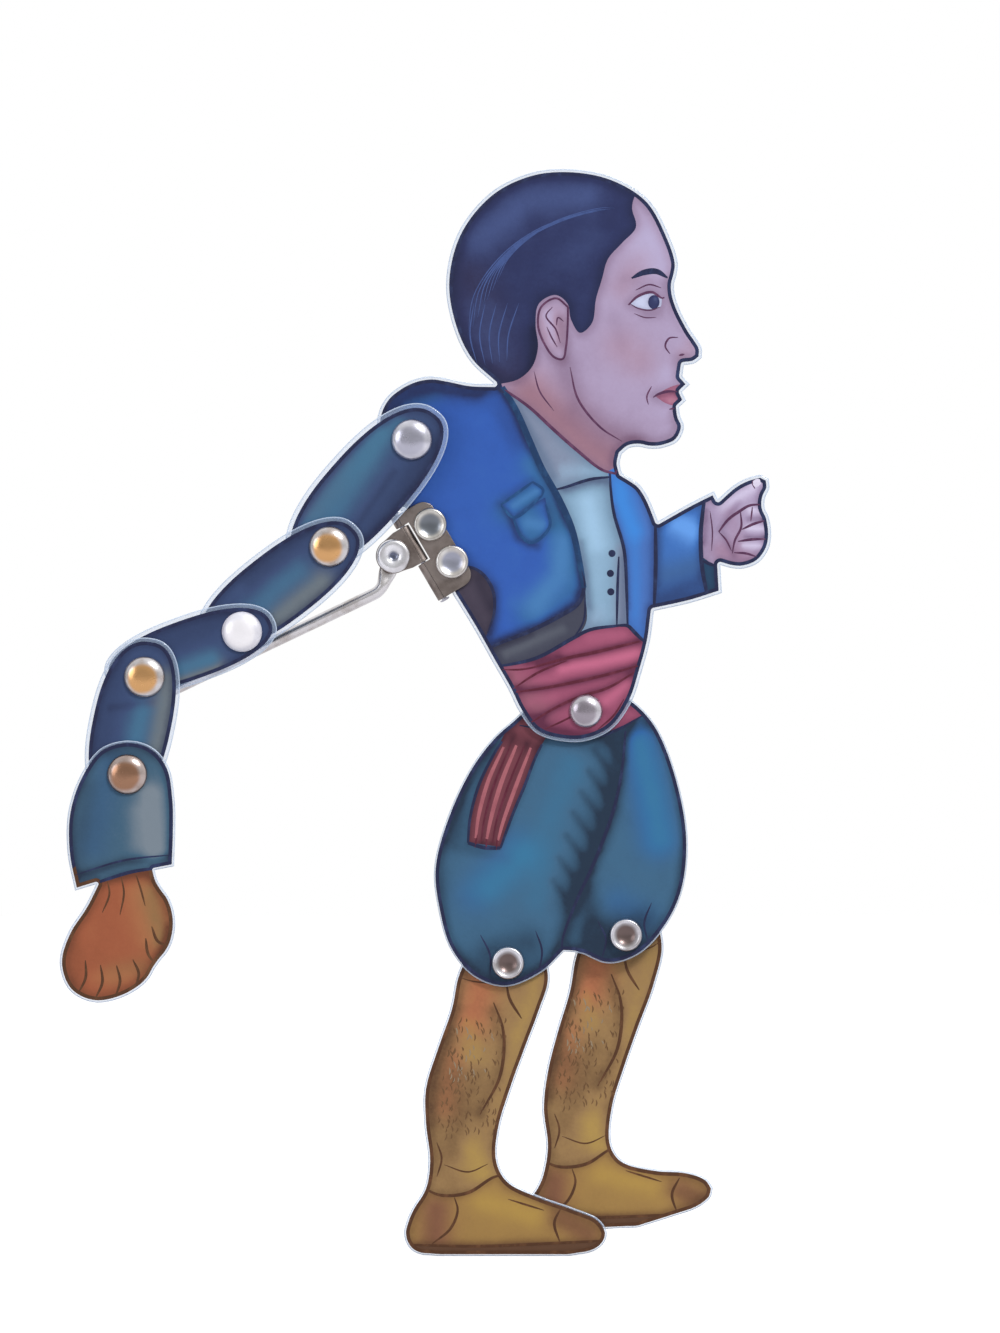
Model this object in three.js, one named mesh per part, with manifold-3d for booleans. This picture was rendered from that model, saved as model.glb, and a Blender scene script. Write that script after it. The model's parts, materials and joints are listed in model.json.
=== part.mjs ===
// A riveted shadow puppet cut from clear plastic sheet, with a sheet-metal hinge and a control rod.
// Millimetres, +Z up. The figure faces +X, and its printed front looks along -Y.
import * as THREE from 'three';
import { mergeVertices } from 'three/addons/utils/BufferGeometryUtils.js';
import Module from 'manifold-3d';

const wasm = await Module();
wasm.setup();

// Sheet, running gap between two sheets, and the sides of every round piece
const SHEET = 1.2;
const GAP = 0.3;
const ROUND_SIDES = 16;
const OUTLINE_STEP = 2.5;

// Rivets: a cap with a pin, and a back cap with a hollow post
const POST_RADIUS = 1.5;
const POST_WALL = 0.55;
const POST_CLEARANCE = 0.3;
const PIN_CLEARANCE = 0.3;
const ARM_CAP_RADIUS = 5.0;
const WAIST_CAP_RADIUS = 4.1;
const KNEE_CAP_RADIUS = 4.1;
const HINGE_CAP_RADIUS = 4.2;
const CAP_HEIGHT = 1.8;
const HINGE_CAP_HEIGHT = 1.1;
const BACK_CAP_RADIUS = 4.0;
const HINGE_BACK_CAP_RADIUS = 3.2;
const BACK_CAP_HEIGHT = 0.8;
const SPACER_RADIUS = 3.6;

// Places in the figure's plane as [across, up], measured from the waist rivet
const SHOULDER = [-43.5, 67.75];
const NEAR_KNEE = [-19.5, -63];
const FAR_KNEE = [10, -56];
const HINGE_TOP = [-47.5, 48.75];
const HINGE_TILT = -30.4;

// Arm sheets from the shoulder down: rivet spacing, lean from hanging straight down, reach past each
// rivet, half widths behind and in front of the rivets' line, and the bulge's drift along the sheet
const ARM_NAMES = ['upper_arm', 'elbow', 'forearm', 'lower_arm'];
const ARM_LENGTHS = [33.7, 30.4, 26.7, 24.6];
const ARM_LEANS = [37.5, 45.7, 65.1, 9.9];
const ARM_HEADS = [9.6, 8.4, 8.6, 9.8];
const ARM_TAIL = 9;
const ARM_BACK_WIDTHS = [11.6, 9.8, 8.9, 11.4];
const ARM_FRONT_WIDTHS = [10.6, 10.2, 8.4, 10];
const ARM_DRIFTS = [2.4, 3.4, 2.4, 0.8];
const HAND_LEAN = 2;
const OVAL_SQUARENESS = 0.84;

// Hinge: leaf metal, barrel, knuckles, and the places of its rivets from the top of the pin
const LEAF = 0.6;
const BARREL_RADIUS = 1.6;
const HINGE_PIN_RADIUS = 0.7;
const HINGE_PIN_HEAD = 1.3;
const HINGE_PIN_HEAD_HEIGHT = 0.5;
const HINGE_LENGTH = 23.7;
const TOP_KNUCKLE = 3;
const ROD_KNUCKLE = 10;
const FIXED_LEAF_WIDTH = 9.2;
const FIXED_LEAF_CORNER = 3.2;
const FIXED_RIVET_ACROSS = 6.3;
const FIXED_RIVETS_DOWN = [6.2, 17];
const ROD_RIVET_ACROSS = 5.6;
const ROD_TAB_RADIUS = 4.4;
const HINGE_EDGE_CLEARANCE = 0.8;
const HINGE_EDGE_CUT = 12;

// Rod: round bar with a flat eye, a neck, one bend and a long straight end
const ROD_RADIUS = 1.5;
const ROD_EYE_RADIUS = 3.6;
const ROD_EYE_THICKNESS = 1.2;
const ROD_NECK_START = 5.4;
const ROD_NECK_OVERLAP = 1;
const ROD_NECK_LENGTH = 7.2;
const ROD_NECK_LEAN = 20;
const ROD_BEND_RADIUS = 5;
const ROD_LEAN = 64.5;
const ROD_STRAIGHT = 56;
const ROD_STEPS = 26;
const ROD_SIDES = 10;

// From each knee rivet down to the lowest point of its leg
const NEAR_LEG_LENGTH = 73.5;
const FAR_LEG_LENGTH = 74.5;

// Outlines as [across, up] points of a smooth curve; a third value of 1 makes the point a corner.
// Head, torso and far arm, from the waist rivet
const TORSO_OUTLINE = [
  [-23, 81.8, 1], [-29, 87.5], [-33, 95.5], [-35, 107], [-32, 119.5], [-24, 129.5], [-14, 134.5],
  [-4, 135.5], [6.5, 133.5], [15.5, 128], [20.5, 119.5], [23, 111.5], [22, 106], [23, 101.5],
  [26, 95.5], [29, 90.5], [28.5, 87.5], [24.5, 86.5, 1], [24, 84], [26, 81.5], [24, 79.8, 1],
  [25, 77.5], [23, 75.5], [24.5, 71.5], [23, 67.5], [17.5, 65.5], [11.5, 66], [8.5, 63.5],
  [9, 59.5, 1], [13.5, 56.5], [16, 52.5], [18, 47.5, 1], [26, 52], [32, 55, 1], [33, 53, 1],
  [37, 56.5], [41, 58.5], [45, 59], [46, 56.5], [44.5, 52], [46, 47.5], [46, 41.5], [43, 37],
  [38, 35.5], [33.6, 36.5, 1], [34, 29.5, 1], [26, 27], [17, 25, 1], [16, 17.5], [14, 10],
  [11.5, 2.5], [6.5, -4.5], [0, -7.5], [-6.5, -7.5], [-12.5, -5.5], [-16.5, -0.5], [-19.5, 5.5],
  [-23.5, 12.5], [-28, 20.5], [-33.5, 29.5], [-45.5, 48.5], [-49, 57.5], [-51.6, 66.5],
  [-52.2, 73], [-50.2, 78], [-46.8, 81], [-43, 82.9], [-38.7, 83.7], [-34, 83], [-29, 82],
];
// Breeches, from the waist rivet
const BREECHES_OUTLINE = [
  [-18.5, -2.5], [-11.5, 3.5], [-3, 6.5], [6.5, 5.5], [13, 1.5], [18, -4.5], [23, -17.5],
  [25.5, -32.5], [24, -45.5], [19.5, -54.5], [13, -61], [5.5, -63.2], [-1.5, -60.6],
  [-5.5, -60.2, 1], [-10.5, -65], [-20, -69], [-28, -66.5], [-34, -59.5], [-37, -49.5],
  [-38, -39.5], [-35, -27.5], [-29, -14.5], [-23, -6.5],
];
// Near leg, from its knee rivet; its height is set by the leg's length
const NEAR_LEG_OUTLINE = [
  [0, 6.5], [7.5, 4], [10.5, -3.5], [8, -12.5], [5, -20.5], [1, -31.5], [-2, -41.5],
  [-2.5, -49.5], [0, -54.5], [8, -58.5], [16.5, -61.5], [23, -64.5], [24.8, -68.5], [22, -72],
  [15, -73.5, 1], [-17, -73.5, 1], [-23.5, -72.5], [-26, -68.5], [-24.5, -62.5], [-21, -56.5],
  [-20, -49.5], [-21, -40.5], [-21, -31.5], [-18, -21.5], [-14.5, -11.5], [-12.5, -2.5],
  [-8, 4.5],
];
// Far leg, from its knee rivet; its height is set by the leg's length
const FAR_LEG_OUTLINE = [
  [0, 6.5], [7, 4.5], [9.5, -2.5], [7.5, -12.5], [3.5, -23.5], [0, -33.5], [-3, -43.5],
  [-3.5, -52.5], [-1, -56.5], [7, -58.8], [15.5, -59.5], [20.5, -61.5], [22, -64.5], [19, -68],
  [11, -71], [3, -73.5, 1], [-18.5, -74.5, 1], [-23.5, -72.5], [-24.5, -67.5], [-21.5, -61.5],
  [-20, -53.5], [-21, -43.5], [-20, -34.5], [-17.5, -24.5], [-14.5, -14.5], [-12.5, -4.5],
  [-8, 3.5],
];
// Sleeve end and hand, hanging from their rivet
const HAND_OUTLINE = [
  [0, 8.4], [6, 6.9], [10.2, 2.2], [12, -6], [12.4, -14], [12.4, -22.5, 1], [7.6, -23.6, 1],
  [8.6, -26.5], [11.8, -31], [13.2, -36.5], [12.2, -42.5], [9, -47.2], [6.5, -51.5], [0.5, -55.6],
  [-6.5, -57], [-12.5, -54.2], [-15.2, -47.5], [-13.4, -40], [-9.4, -33.2], [-6.8, -27.6, 1],
  [-12, -29.4, 1], [-14.2, -20], [-14.4, -10], [-11.6, -0.6], [-6.8, 6.2],
];

const torsoFront = -SHEET / 2;
const torsoBack = SHEET / 2;
const leafBack = torsoFront - GAP;
const leafFront = leafBack - LEAF;
const barrelMiddle = leafFront + BARREL_RADIUS;
const hingeCapFront = leafFront - GAP - HINGE_CAP_HEIGHT;
const upperArmBack = hingeCapFront - GAP - BACK_CAP_HEIGHT - GAP;
const sheetPitch = SHEET + GAP;
const breechesBack = torsoBack + GAP + SHEET;
const nearLegBack = breechesBack + GAP + SHEET;
const farLegFront = nearLegBack + GAP + BACK_CAP_HEIGHT + GAP;
const farLegBack = farLegFront + SHEET;
const holeRadius = POST_RADIUS + POST_CLEARANCE;

const clearSheet = (color) => new THREE.MeshStandardMaterial({ color, roughness: 0.18, metalness: 0 });
const nickel = () => new THREE.MeshStandardMaterial({ color: 0xc9c8cc, roughness: 0.25, metalness: 1 });
const hingeMetal = () => new THREE.MeshStandardMaterial({ color: 0x9c9082, roughness: 0.4, metalness: 1 });
const rodMetal = () => new THREE.MeshStandardMaterial({ color: 0xb4b3b6, roughness: 0.3, metalness: 1 });
const nylon = () => new THREE.MeshStandardMaterial({ color: 0xe4e1da, roughness: 0.6, metalness: 0 });

const radians = THREE.MathUtils.degToRad;

function named(name, geometry, material) {
  const mesh = new THREE.Mesh(geometry, material);
  mesh.name = name;
  return mesh;
}

// A turning point in the figure's plane; a lean of 0 hangs straight down, and more leans to -X
function pivot([across, up], lean = 0) {
  const group = new THREE.Group();
  group.position.set(across, 0, up);
  group.rotation.y = radians(lean);
  return group;
}

// Booleans on closed geometries
function solidOf(geometry) {
  const bare = geometry.clone();
  bare.deleteAttribute('normal');
  bare.deleteAttribute('uv');
  const merged = mergeVertices(bare, 1e-4);
  const vertProperties = new Float32Array(merged.attributes.position.array);
  const triVerts = new Uint32Array(merged.index.array);
  return new wasm.Manifold(new wasm.Mesh({ numProp: 3, vertProperties, triVerts }));
}

function geometryOf(solid) {
  const { vertProperties, triVerts } = solid.getMesh();
  const geometry = new THREE.BufferGeometry();
  geometry.setAttribute('position', new THREE.BufferAttribute(new Float32Array(vertProperties), 3));
  geometry.setIndex(new THREE.BufferAttribute(new Uint32Array(triVerts), 1));
  geometry.computeVertexNormals();
  return geometry;
}

// Points of a closed outline, smooth between its corners
function smoothOutline(outline) {
  const points = outline.map(([across, up]) => new THREE.Vector3(across, up, 0));
  const corners = outline.flatMap((point, index) => (point[2] ? [index] : []));
  const count = points.length;
  const runs = [];
  corners.forEach((start, index) => {
    const end = corners[(index + 1) % corners.length];
    const length = ((end - start + count) % count) || count;
    runs.push(Array.from({ length: length + 1 }, (_, step) => points[(start + step) % count]));
  });
  if (corners.length === 0) {
    runs.push(points);
  }
  return runs.flatMap((run) => {
    const closed = corners.length === 0;
    const curve = new THREE.CatmullRomCurve3(run, closed, 'centripetal');
    const steps = Math.max(1, Math.round(curve.getLength() / OUTLINE_STEP));
    return curve.getSpacedPoints(steps).slice(0, -1).map(({ x, y }) => new THREE.Vector2(x, y));
  });
}

// The same outline, with its lowest point at a given depth
function stretchedDown(outline, depth) {
  const lowest = Math.min(...outline.map(([, up]) => up));
  return outline.map(([across, up, corner]) => [across, (-depth * up) / lowest, corner]);
}

function roundHole([across, up], radius) {
  const hole = new THREE.Path();
  const turn = (2 * Math.PI) / ROUND_SIDES;
  const points = Array.from({ length: ROUND_SIDES }, (_, side) => new THREE.Vector2(
    across + radius * Math.cos(side * turn),
    up + radius * Math.sin(side * turn),
  ));
  hole.setFromPoints(points);
  return hole;
}

// A flat piece standing in the figure's plane, from its back face to its front face
function flatPiece(points, holes, backFace, thickness) {
  const shape = new THREE.Shape(points);
  shape.holes = holes;
  const geometry = new THREE.ExtrudeGeometry(shape, { depth: thickness, bevelEnabled: false });
  geometry.rotateX(Math.PI / 2);
  geometry.translate(0, backFace, 0);
  return geometry;
}

function sheetPiece(name, points, rivetPlaces, backFace, color) {
  const holes = rivetPlaces.map((place) => roundHole(place, holeRadius));
  return named(name, flatPiece(points, holes, backFace, SHEET), clearSheet(color));
}

// A solid turned about an axis along Y, from a profile of [radius, y] points with rising y
function turned(profile) {
  const points = profile.map(([radius, y]) => new THREE.Vector2(radius, y));
  return new THREE.LatheGeometry(points, ROUND_SIDES);
}

// Rim profiles of a cap, as shares of its radius and height from the seat
const DOMED = [[1, 0], [1, 0.28], [0.93, 0.5], [0.74, 0.78], [0.42, 0.95], [0, 1]];
const DISHED = [[1, 0], [1, 0.5], [0.9, 0.86], [0.78, 1], [0.66, 0.86], [0.56, 0.55], [0, 0.5]];

// A cap with its pin, in front, and a back cap with its hollow post, behind
function rivet(name, place, { radius, backRadius, height, form, frontFace, backFace }) {
  const seat = frontFace - GAP;
  const backSeat = backFace + GAP;
  const boreRadius = POST_RADIUS - POST_WALL;
  const pinRadius = boreRadius - PIN_CLEARANCE;
  const cap = form.map(([share, rise]) => [share * radius, seat - rise * height]).reverse();
  const capAndPin = turned([...cap, [pinRadius, seat], [pinRadius, backFace], [0, backFace]]);
  const postAndCap = turned([
    [0, backSeat], [boreRadius, backSeat], [boreRadius, frontFace], [POST_RADIUS, frontFace],
    [POST_RADIUS, backSeat], [backRadius, backSeat], [backRadius, backSeat + 0.4 * BACK_CAP_HEIGHT],
    [0.8 * backRadius, backSeat + BACK_CAP_HEIGHT], [0, backSeat + BACK_CAP_HEIGHT],
  ]);
  const pieces = new THREE.Group();
  pieces.position.set(place[0], 0, place[1]);
  pieces.add(named(`${name}_rivet_cap`, capAndPin, nickel()));
  pieces.add(named(`${name}_rivet_post`, postAndCap, nickel()));
  return pieces;
}

function armRivet(name, place, frontFace, backFace) {
  const size = { radius: ARM_CAP_RADIUS, backRadius: BACK_CAP_RADIUS, height: CAP_HEIGHT };
  return rivet(name, place, { ...size, form: DOMED, frontFace, backFace });
}

function kneeRivet(name, place, backFace) {
  const size = { radius: KNEE_CAP_RADIUS, backRadius: BACK_CAP_RADIUS, height: CAP_HEIGHT };
  return rivet(name, place, { ...size, form: DISHED, frontFace: torsoBack + GAP, backFace });
}

function hingeRivet(name, place, backFace) {
  const size = { radius: HINGE_CAP_RADIUS, backRadius: HINGE_BACK_CAP_RADIUS, height: HINGE_CAP_HEIGHT };
  return rivet(name, place, { ...size, form: DISHED, frontFace: leafFront, backFace });
}

function spacer(name, place, frontFace, backFace) {
  const geometry = turned([
    [holeRadius, frontFace], [SPACER_RADIUS, frontFace], [SPACER_RADIUS, backFace],
    [holeRadius, backFace], [holeRadius, frontFace],
  ]);
  const mesh = named(name, geometry, nylon());
  mesh.position.set(place[0], 0, place[1]);
  return mesh;
}

// An oval arm sheet hanging from its upper rivet
function armOutline({ length, head, back, front, drift }) {
  const half = (head + length + ARM_TAIL) / 2;
  const middle = half - head;
  const count = Math.round((4 * half + 2 * (back + front)) / OUTLINE_STEP);
  const rounded = (value) => Math.sign(value) * Math.abs(value) ** OVAL_SQUARENESS;
  return Array.from({ length: count }, (_, index) => {
    const angle = (2 * Math.PI * index) / count;
    const down = middle - half * rounded(Math.cos(angle));
    const side = rounded(Math.sin(angle));
    const width = side > 0 ? front : back;
    return new THREE.Vector2(width * side - (drift * down) / length, -down);
  });
}

// A round tube along Z, from one height to another
function tube(outer, inner, top, bottom) {
  const geometry = turned([[inner, bottom], [outer, bottom], [outer, top], [inner, top], [inner, bottom]]);
  return geometry.rotateX(Math.PI / 2);
}

function fixedLeaf() {
  const rodKnuckleTop = TOP_KNUCKLE + GAP;
  const rodKnuckleEnd = rodKnuckleTop + ROD_KNUCKLE;
  const inset = BARREL_RADIUS + GAP;
  const corner = FIXED_LEAF_CORNER;
  const shape = new THREE.Shape();
  shape.moveTo(0, 0);
  shape.lineTo(0, -TOP_KNUCKLE);
  shape.lineTo(inset, -TOP_KNUCKLE);
  shape.lineTo(inset, -rodKnuckleEnd - GAP);
  shape.lineTo(0, -rodKnuckleEnd - GAP);
  shape.lineTo(0, -HINGE_LENGTH);
  shape.lineTo(FIXED_LEAF_WIDTH - corner, -HINGE_LENGTH);
  shape.absarc(FIXED_LEAF_WIDTH - corner, -HINGE_LENGTH + corner, corner, -Math.PI / 2, 0, false);
  shape.absarc(FIXED_LEAF_WIDTH - corner, -corner, corner, 0, Math.PI / 2, false);
  const holes = FIXED_RIVETS_DOWN.map((down) => roundHole([FIXED_RIVET_ACROSS, -down], holeRadius));
  const leaf = solidOf(flatPiece(shape.getPoints(4), holes, leafBack, LEAF));
  const bore = HINGE_PIN_RADIUS + PIN_CLEARANCE;
  const knuckles = [[0, -TOP_KNUCKLE], [-rodKnuckleEnd - GAP, -HINGE_LENGTH]];
  const whole = knuckles.reduce((solid, [top, bottom]) => {
    const barrel = tube(BARREL_RADIUS, bore, top, bottom).translate(0, barrelMiddle, 0);
    return solid.add(solidOf(barrel));
  }, leaf);
  return named('hinge_fixed_leaf', geometryOf(whole), hingeMetal());
}

// The moving leaf turns about the pin, so it is drawn from the pin's own axis
function movingLeaf() {
  const top = -TOP_KNUCKLE - GAP;
  const middle = top - ROD_KNUCKLE / 2;
  const shape = new THREE.Shape();
  shape.moveTo(0, top - ROD_KNUCKLE);
  shape.lineTo(0, top);
  shape.lineTo(-ROD_RIVET_ACROSS / 2, top);
  shape.absarc(-ROD_RIVET_ACROSS, middle, ROD_TAB_RADIUS, Math.PI / 2, -Math.PI / 2, false);
  shape.lineTo(-ROD_RIVET_ACROSS / 2, top - ROD_KNUCKLE);
  const holes = [roundHole([-ROD_RIVET_ACROSS, middle], holeRadius)];
  const leaf = solidOf(flatPiece(shape.getPoints(8), holes, leafBack - barrelMiddle, LEAF));
  const bore = HINGE_PIN_RADIUS + PIN_CLEARANCE;
  const barrel = solidOf(tube(BARREL_RADIUS, bore, top, top - ROD_KNUCKLE));
  return named('hinge_moving_leaf', geometryOf(leaf.add(barrel)), hingeMetal());
}

function hingePin() {
  const top = GAP;
  const bottom = -HINGE_LENGTH - GAP;
  const geometry = turned([
    [0, bottom - HINGE_PIN_HEAD_HEIGHT], [HINGE_PIN_HEAD, bottom - HINGE_PIN_HEAD_HEIGHT],
    [HINGE_PIN_HEAD, bottom], [HINGE_PIN_RADIUS, bottom], [HINGE_PIN_RADIUS, top],
    [HINGE_PIN_HEAD, top], [HINGE_PIN_HEAD, top + HINGE_PIN_HEAD_HEIGHT],
    [0, top + HINGE_PIN_HEAD_HEIGHT],
  ]);
  geometry.rotateX(Math.PI / 2);
  geometry.translate(0, barrelMiddle, 0);
  return named('hinge_pin', geometry, nickel());
}

// The rod hangs from its eye; the lean of its neck is 0 here
function rod() {
  const bend = radians(ROD_LEAN - ROD_NECK_LEAN);
  const path = new THREE.CurvePath();
  const neckStart = new THREE.Vector3(0, 0, -ROD_NECK_START);
  const neckEnd = new THREE.Vector3(0, 0, -ROD_NECK_LENGTH);
  const onBend = (angle) => new THREE.Vector3(
    -ROD_BEND_RADIUS * (1 - Math.cos(angle)),
    0,
    -ROD_NECK_LENGTH - ROD_BEND_RADIUS * Math.sin(angle),
  );
  const bendEnd = onBend(bend);
  const heading = new THREE.Vector3(-Math.sin(bend), 0, -Math.cos(bend));
  const end = bendEnd.clone().addScaledVector(heading, ROD_STRAIGHT);
  path.add(new THREE.LineCurve3(neckStart, neckEnd));
  path.add(new THREE.CatmullRomCurve3([0, 0.25, 0.5, 0.75, 1].map((share) => onBend(share * bend))));
  path.add(new THREE.LineCurve3(bendEnd, end));
  const section = new THREE.Shape();
  section.absarc(0, 0, ROD_RADIUS, 0, 2 * Math.PI, false);
  const bar = new THREE.ExtrudeGeometry(section, {
    steps: ROD_STEPS, curveSegments: ROD_SIDES / 2, extrudePath: path,
  });
  const half = ROD_EYE_THICKNESS / 2;
  const eye = turned([[0, -half], [ROD_EYE_RADIUS, -half], [ROD_EYE_RADIUS, half], [0, half]]);
  const neckEndInBar = ROD_NECK_START + ROD_NECK_OVERLAP;
  const neck = new THREE.BoxGeometry(2 * ROD_RADIUS, ROD_EYE_THICKNESS, neckEndInBar);
  neck.translate(0, 0, -neckEndInBar / 2);
  const hole = turned([[0, -2 * half], [holeRadius, -2 * half], [holeRadius, 2 * half], [0, 2 * half]]);
  const whole = solidOf(bar).add(solidOf(eye)).add(solidOf(neck)).subtract(solidOf(hole));
  return named('control_rod', geometryOf(whole), rodMetal());
}

// Cuts a straight edge on the torso beside the hinge's barrel
function withHingeEdge(mesh, hinge) {
  const reach = BARREL_RADIUS + HINGE_EDGE_CLEARANCE;
  const block = new THREE.BoxGeometry(HINGE_EDGE_CUT, 3 * SHEET, HINGE_LENGTH + 2 * GAP);
  block.translate(reach - HINGE_EDGE_CUT / 2, 0, -HINGE_LENGTH / 2);
  hinge.updateMatrix();
  block.applyMatrix4(hinge.matrix);
  const cut = solidOf(mesh.geometry).subtract(solidOf(block));
  mesh.geometry = geometryOf(cut);
  return mesh;
}

const figure = new THREE.Group();

// Hinge and torso
const hinge = pivot(HINGE_TOP, HINGE_TILT);
const fixedRivetPlaces = FIXED_RIVETS_DOWN.map((down) => {
  hinge.updateMatrix();
  const place = new THREE.Vector3(FIXED_RIVET_ACROSS, 0, -down).applyMatrix4(hinge.matrix);
  return [place.x, place.z];
});
const torsoHoles = [[0, 0], SHOULDER, ...fixedRivetPlaces];
const torso = sheetPiece('torso_sheet', smoothOutline(TORSO_OUTLINE), torsoHoles, torsoBack, 0x3560b0);
figure.add(withHingeEdge(torso, hinge));
hinge.add(fixedLeaf());
hinge.add(hingePin());
FIXED_RIVETS_DOWN.forEach((down, index) => {
  const name = ['hinge_upper', 'hinge_lower'][index];
  hinge.add(hingeRivet(name, [FIXED_RIVET_ACROSS, -down], torsoBack));
});
const rodHinge = new THREE.Group();
rodHinge.name = 'rod_hinge';
rodHinge.position.set(0, barrelMiddle, 0);
rodHinge.add(movingLeaf());
const rodKnuckleMiddle = TOP_KNUCKLE + GAP + ROD_KNUCKLE / 2;
const rodSwivel = pivot([-ROD_RIVET_ACROSS, -rodKnuckleMiddle], ROD_NECK_LEAN - HINGE_TILT);
rodSwivel.name = 'rod_swivel';
rodSwivel.position.y = -barrelMiddle;
rodSwivel.add(rod());
rodSwivel.add(hingeRivet('rod', [0, 0], ROD_EYE_THICKNESS / 2));
rodHinge.add(rodSwivel);
hinge.add(rodHinge);
figure.add(hinge);

// Arm: each sheet lies in front of the one before it and hangs from its rivet
figure.add(spacer('shoulder_spacer', SHOULDER, upperArmBack + GAP, torsoFront - GAP));
figure.add(armRivet('shoulder', SHOULDER, upperArmBack - SHEET, torsoBack));
let holder = figure;
let place = SHOULDER;
let leanSoFar = 0;
ARM_NAMES.forEach((name, index) => {
  const length = ARM_LENGTHS[index];
  const joint = pivot(place, ARM_LEANS[index] - leanSoFar);
  joint.name = `${name}_joint`;
  const backFace = upperArmBack - index * sheetPitch;
  const ends = [[0, 0], [0, -length]];
  const outline = armOutline({
    length,
    head: ARM_HEADS[index],
    back: ARM_BACK_WIDTHS[index],
    front: ARM_FRONT_WIDTHS[index],
    drift: ARM_DRIFTS[index],
  });
  joint.add(sheetPiece(`${name}_sheet`, outline, ends, backFace, 0x2f4f86));
  const next = ARM_NAMES[index + 1] ?? 'hand';
  joint.add(armRivet(next, ends[1], backFace - sheetPitch - SHEET, backFace));
  holder.add(joint);
  holder = joint;
  place = ends[1];
  leanSoFar = ARM_LEANS[index];
});
const handJoint = pivot(place, HAND_LEAN - leanSoFar);
handJoint.name = 'hand_joint';
const handBack = upperArmBack - ARM_NAMES.length * sheetPitch;
handJoint.add(sheetPiece('hand_sheet', smoothOutline(HAND_OUTLINE), [[0, 0]], handBack, 0x3f6f92));
holder.add(handJoint);

// Breeches behind the torso, the near leg behind them, and the far leg behind both
const waistSize = { radius: WAIST_CAP_RADIUS, backRadius: BACK_CAP_RADIUS, height: CAP_HEIGHT };
const waistFaces = { form: DOMED, frontFace: torsoFront, backFace: breechesBack };
figure.add(rivet('waist', [0, 0], { ...waistSize, ...waistFaces }));
const waistJoint = pivot([0, 0]);
waistJoint.name = 'waist_joint';
const breechesHoles = [[0, 0], NEAR_KNEE, FAR_KNEE];
const breechesPoints = smoothOutline(BREECHES_OUTLINE);
waistJoint.add(sheetPiece('breeches_sheet', breechesPoints, breechesHoles, breechesBack, 0x2f6f86));
waistJoint.add(kneeRivet('near_knee', NEAR_KNEE, nearLegBack));
waistJoint.add(kneeRivet('far_knee', FAR_KNEE, farLegBack));
waistJoint.add(spacer('far_knee_spacer', FAR_KNEE, breechesBack + GAP, farLegFront - GAP));
const legs = [
  {
    name: 'near_leg',
    knee: NEAR_KNEE,
    outline: stretchedDown(NEAR_LEG_OUTLINE, NEAR_LEG_LENGTH),
    backFace: nearLegBack,
  },
  {
    name: 'far_leg',
    knee: FAR_KNEE,
    outline: stretchedDown(FAR_LEG_OUTLINE, FAR_LEG_LENGTH),
    backFace: farLegBack,
  },
];
legs.forEach(({ name, knee, outline, backFace }) => {
  const joint = pivot(knee);
  joint.name = `${name}_joint`;
  joint.add(sheetPiece(`${name}_sheet`, smoothOutline(outline), [[0, 0]], backFace, 0xb98b3a));
  waistJoint.add(joint);
});
figure.add(waistJoint);

// The origin is under the middle of the figure, at its lowest point
const box = new THREE.Box3().setFromObject(figure);
const middle = box.getCenter(new THREE.Vector3());
figure.position.set(-middle.x, -middle.y, -box.min.z);

const puppet = new THREE.Group();
puppet.add(figure);

export default puppet;
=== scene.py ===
import json
import math
import random

import bmesh
import bpy
import numpy as np
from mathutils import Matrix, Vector
from mathutils.geometry import delaunay_2d_cdt
from mathutils.kdtree import KDTree


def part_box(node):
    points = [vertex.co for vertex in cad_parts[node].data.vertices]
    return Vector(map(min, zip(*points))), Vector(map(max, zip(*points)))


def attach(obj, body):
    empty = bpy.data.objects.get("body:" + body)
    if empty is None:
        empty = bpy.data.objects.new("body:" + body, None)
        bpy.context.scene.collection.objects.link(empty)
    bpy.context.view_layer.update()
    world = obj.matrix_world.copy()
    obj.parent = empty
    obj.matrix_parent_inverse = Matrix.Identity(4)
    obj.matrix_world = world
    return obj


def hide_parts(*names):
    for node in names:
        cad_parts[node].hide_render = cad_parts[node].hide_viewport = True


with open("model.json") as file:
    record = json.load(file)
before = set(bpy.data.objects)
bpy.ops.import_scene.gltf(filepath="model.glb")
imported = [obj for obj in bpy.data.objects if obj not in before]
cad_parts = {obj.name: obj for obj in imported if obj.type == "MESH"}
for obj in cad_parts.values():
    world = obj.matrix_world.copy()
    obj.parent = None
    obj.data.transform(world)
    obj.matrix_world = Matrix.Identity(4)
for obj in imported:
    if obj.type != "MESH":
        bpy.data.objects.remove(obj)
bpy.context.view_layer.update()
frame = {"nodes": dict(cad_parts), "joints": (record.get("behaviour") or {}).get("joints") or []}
joints = {joint["name"]: joint for joint in frame["joints"]}

MM = 0.001

# Sheets, in millimetres: width of the drawn contour and the slack at its edges, height of paint
# and ink over the plastic, rounding of the cut edge and its steps, spacing of the points that
# carry the shading, and the share of it that they keep clear of outlines
CONTOUR = 0.9
CONTOUR_SLACK = 0.01
PAINT_LIFT = 0.02
INK_LIFT = 0.04
INK_CROWN = 0.03
CUT_ROUNDING = 0.35
RIM_STEPS = 3
PAINT_PITCH = 0.8
CLEAR_OF_OUTLINES = 0.45

# Curves: spacing of their points, and of those that depths are measured to, count of points
# between two given ones, turn of a corner, turn of one step in an arc round it
CURVE_STEP = 0.5
SAMPLE_STEP = 0.1
SPAN_POINTS = 8
CORNER_TURN = math.radians(40)
ARC_STEP = math.radians(14)

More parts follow.
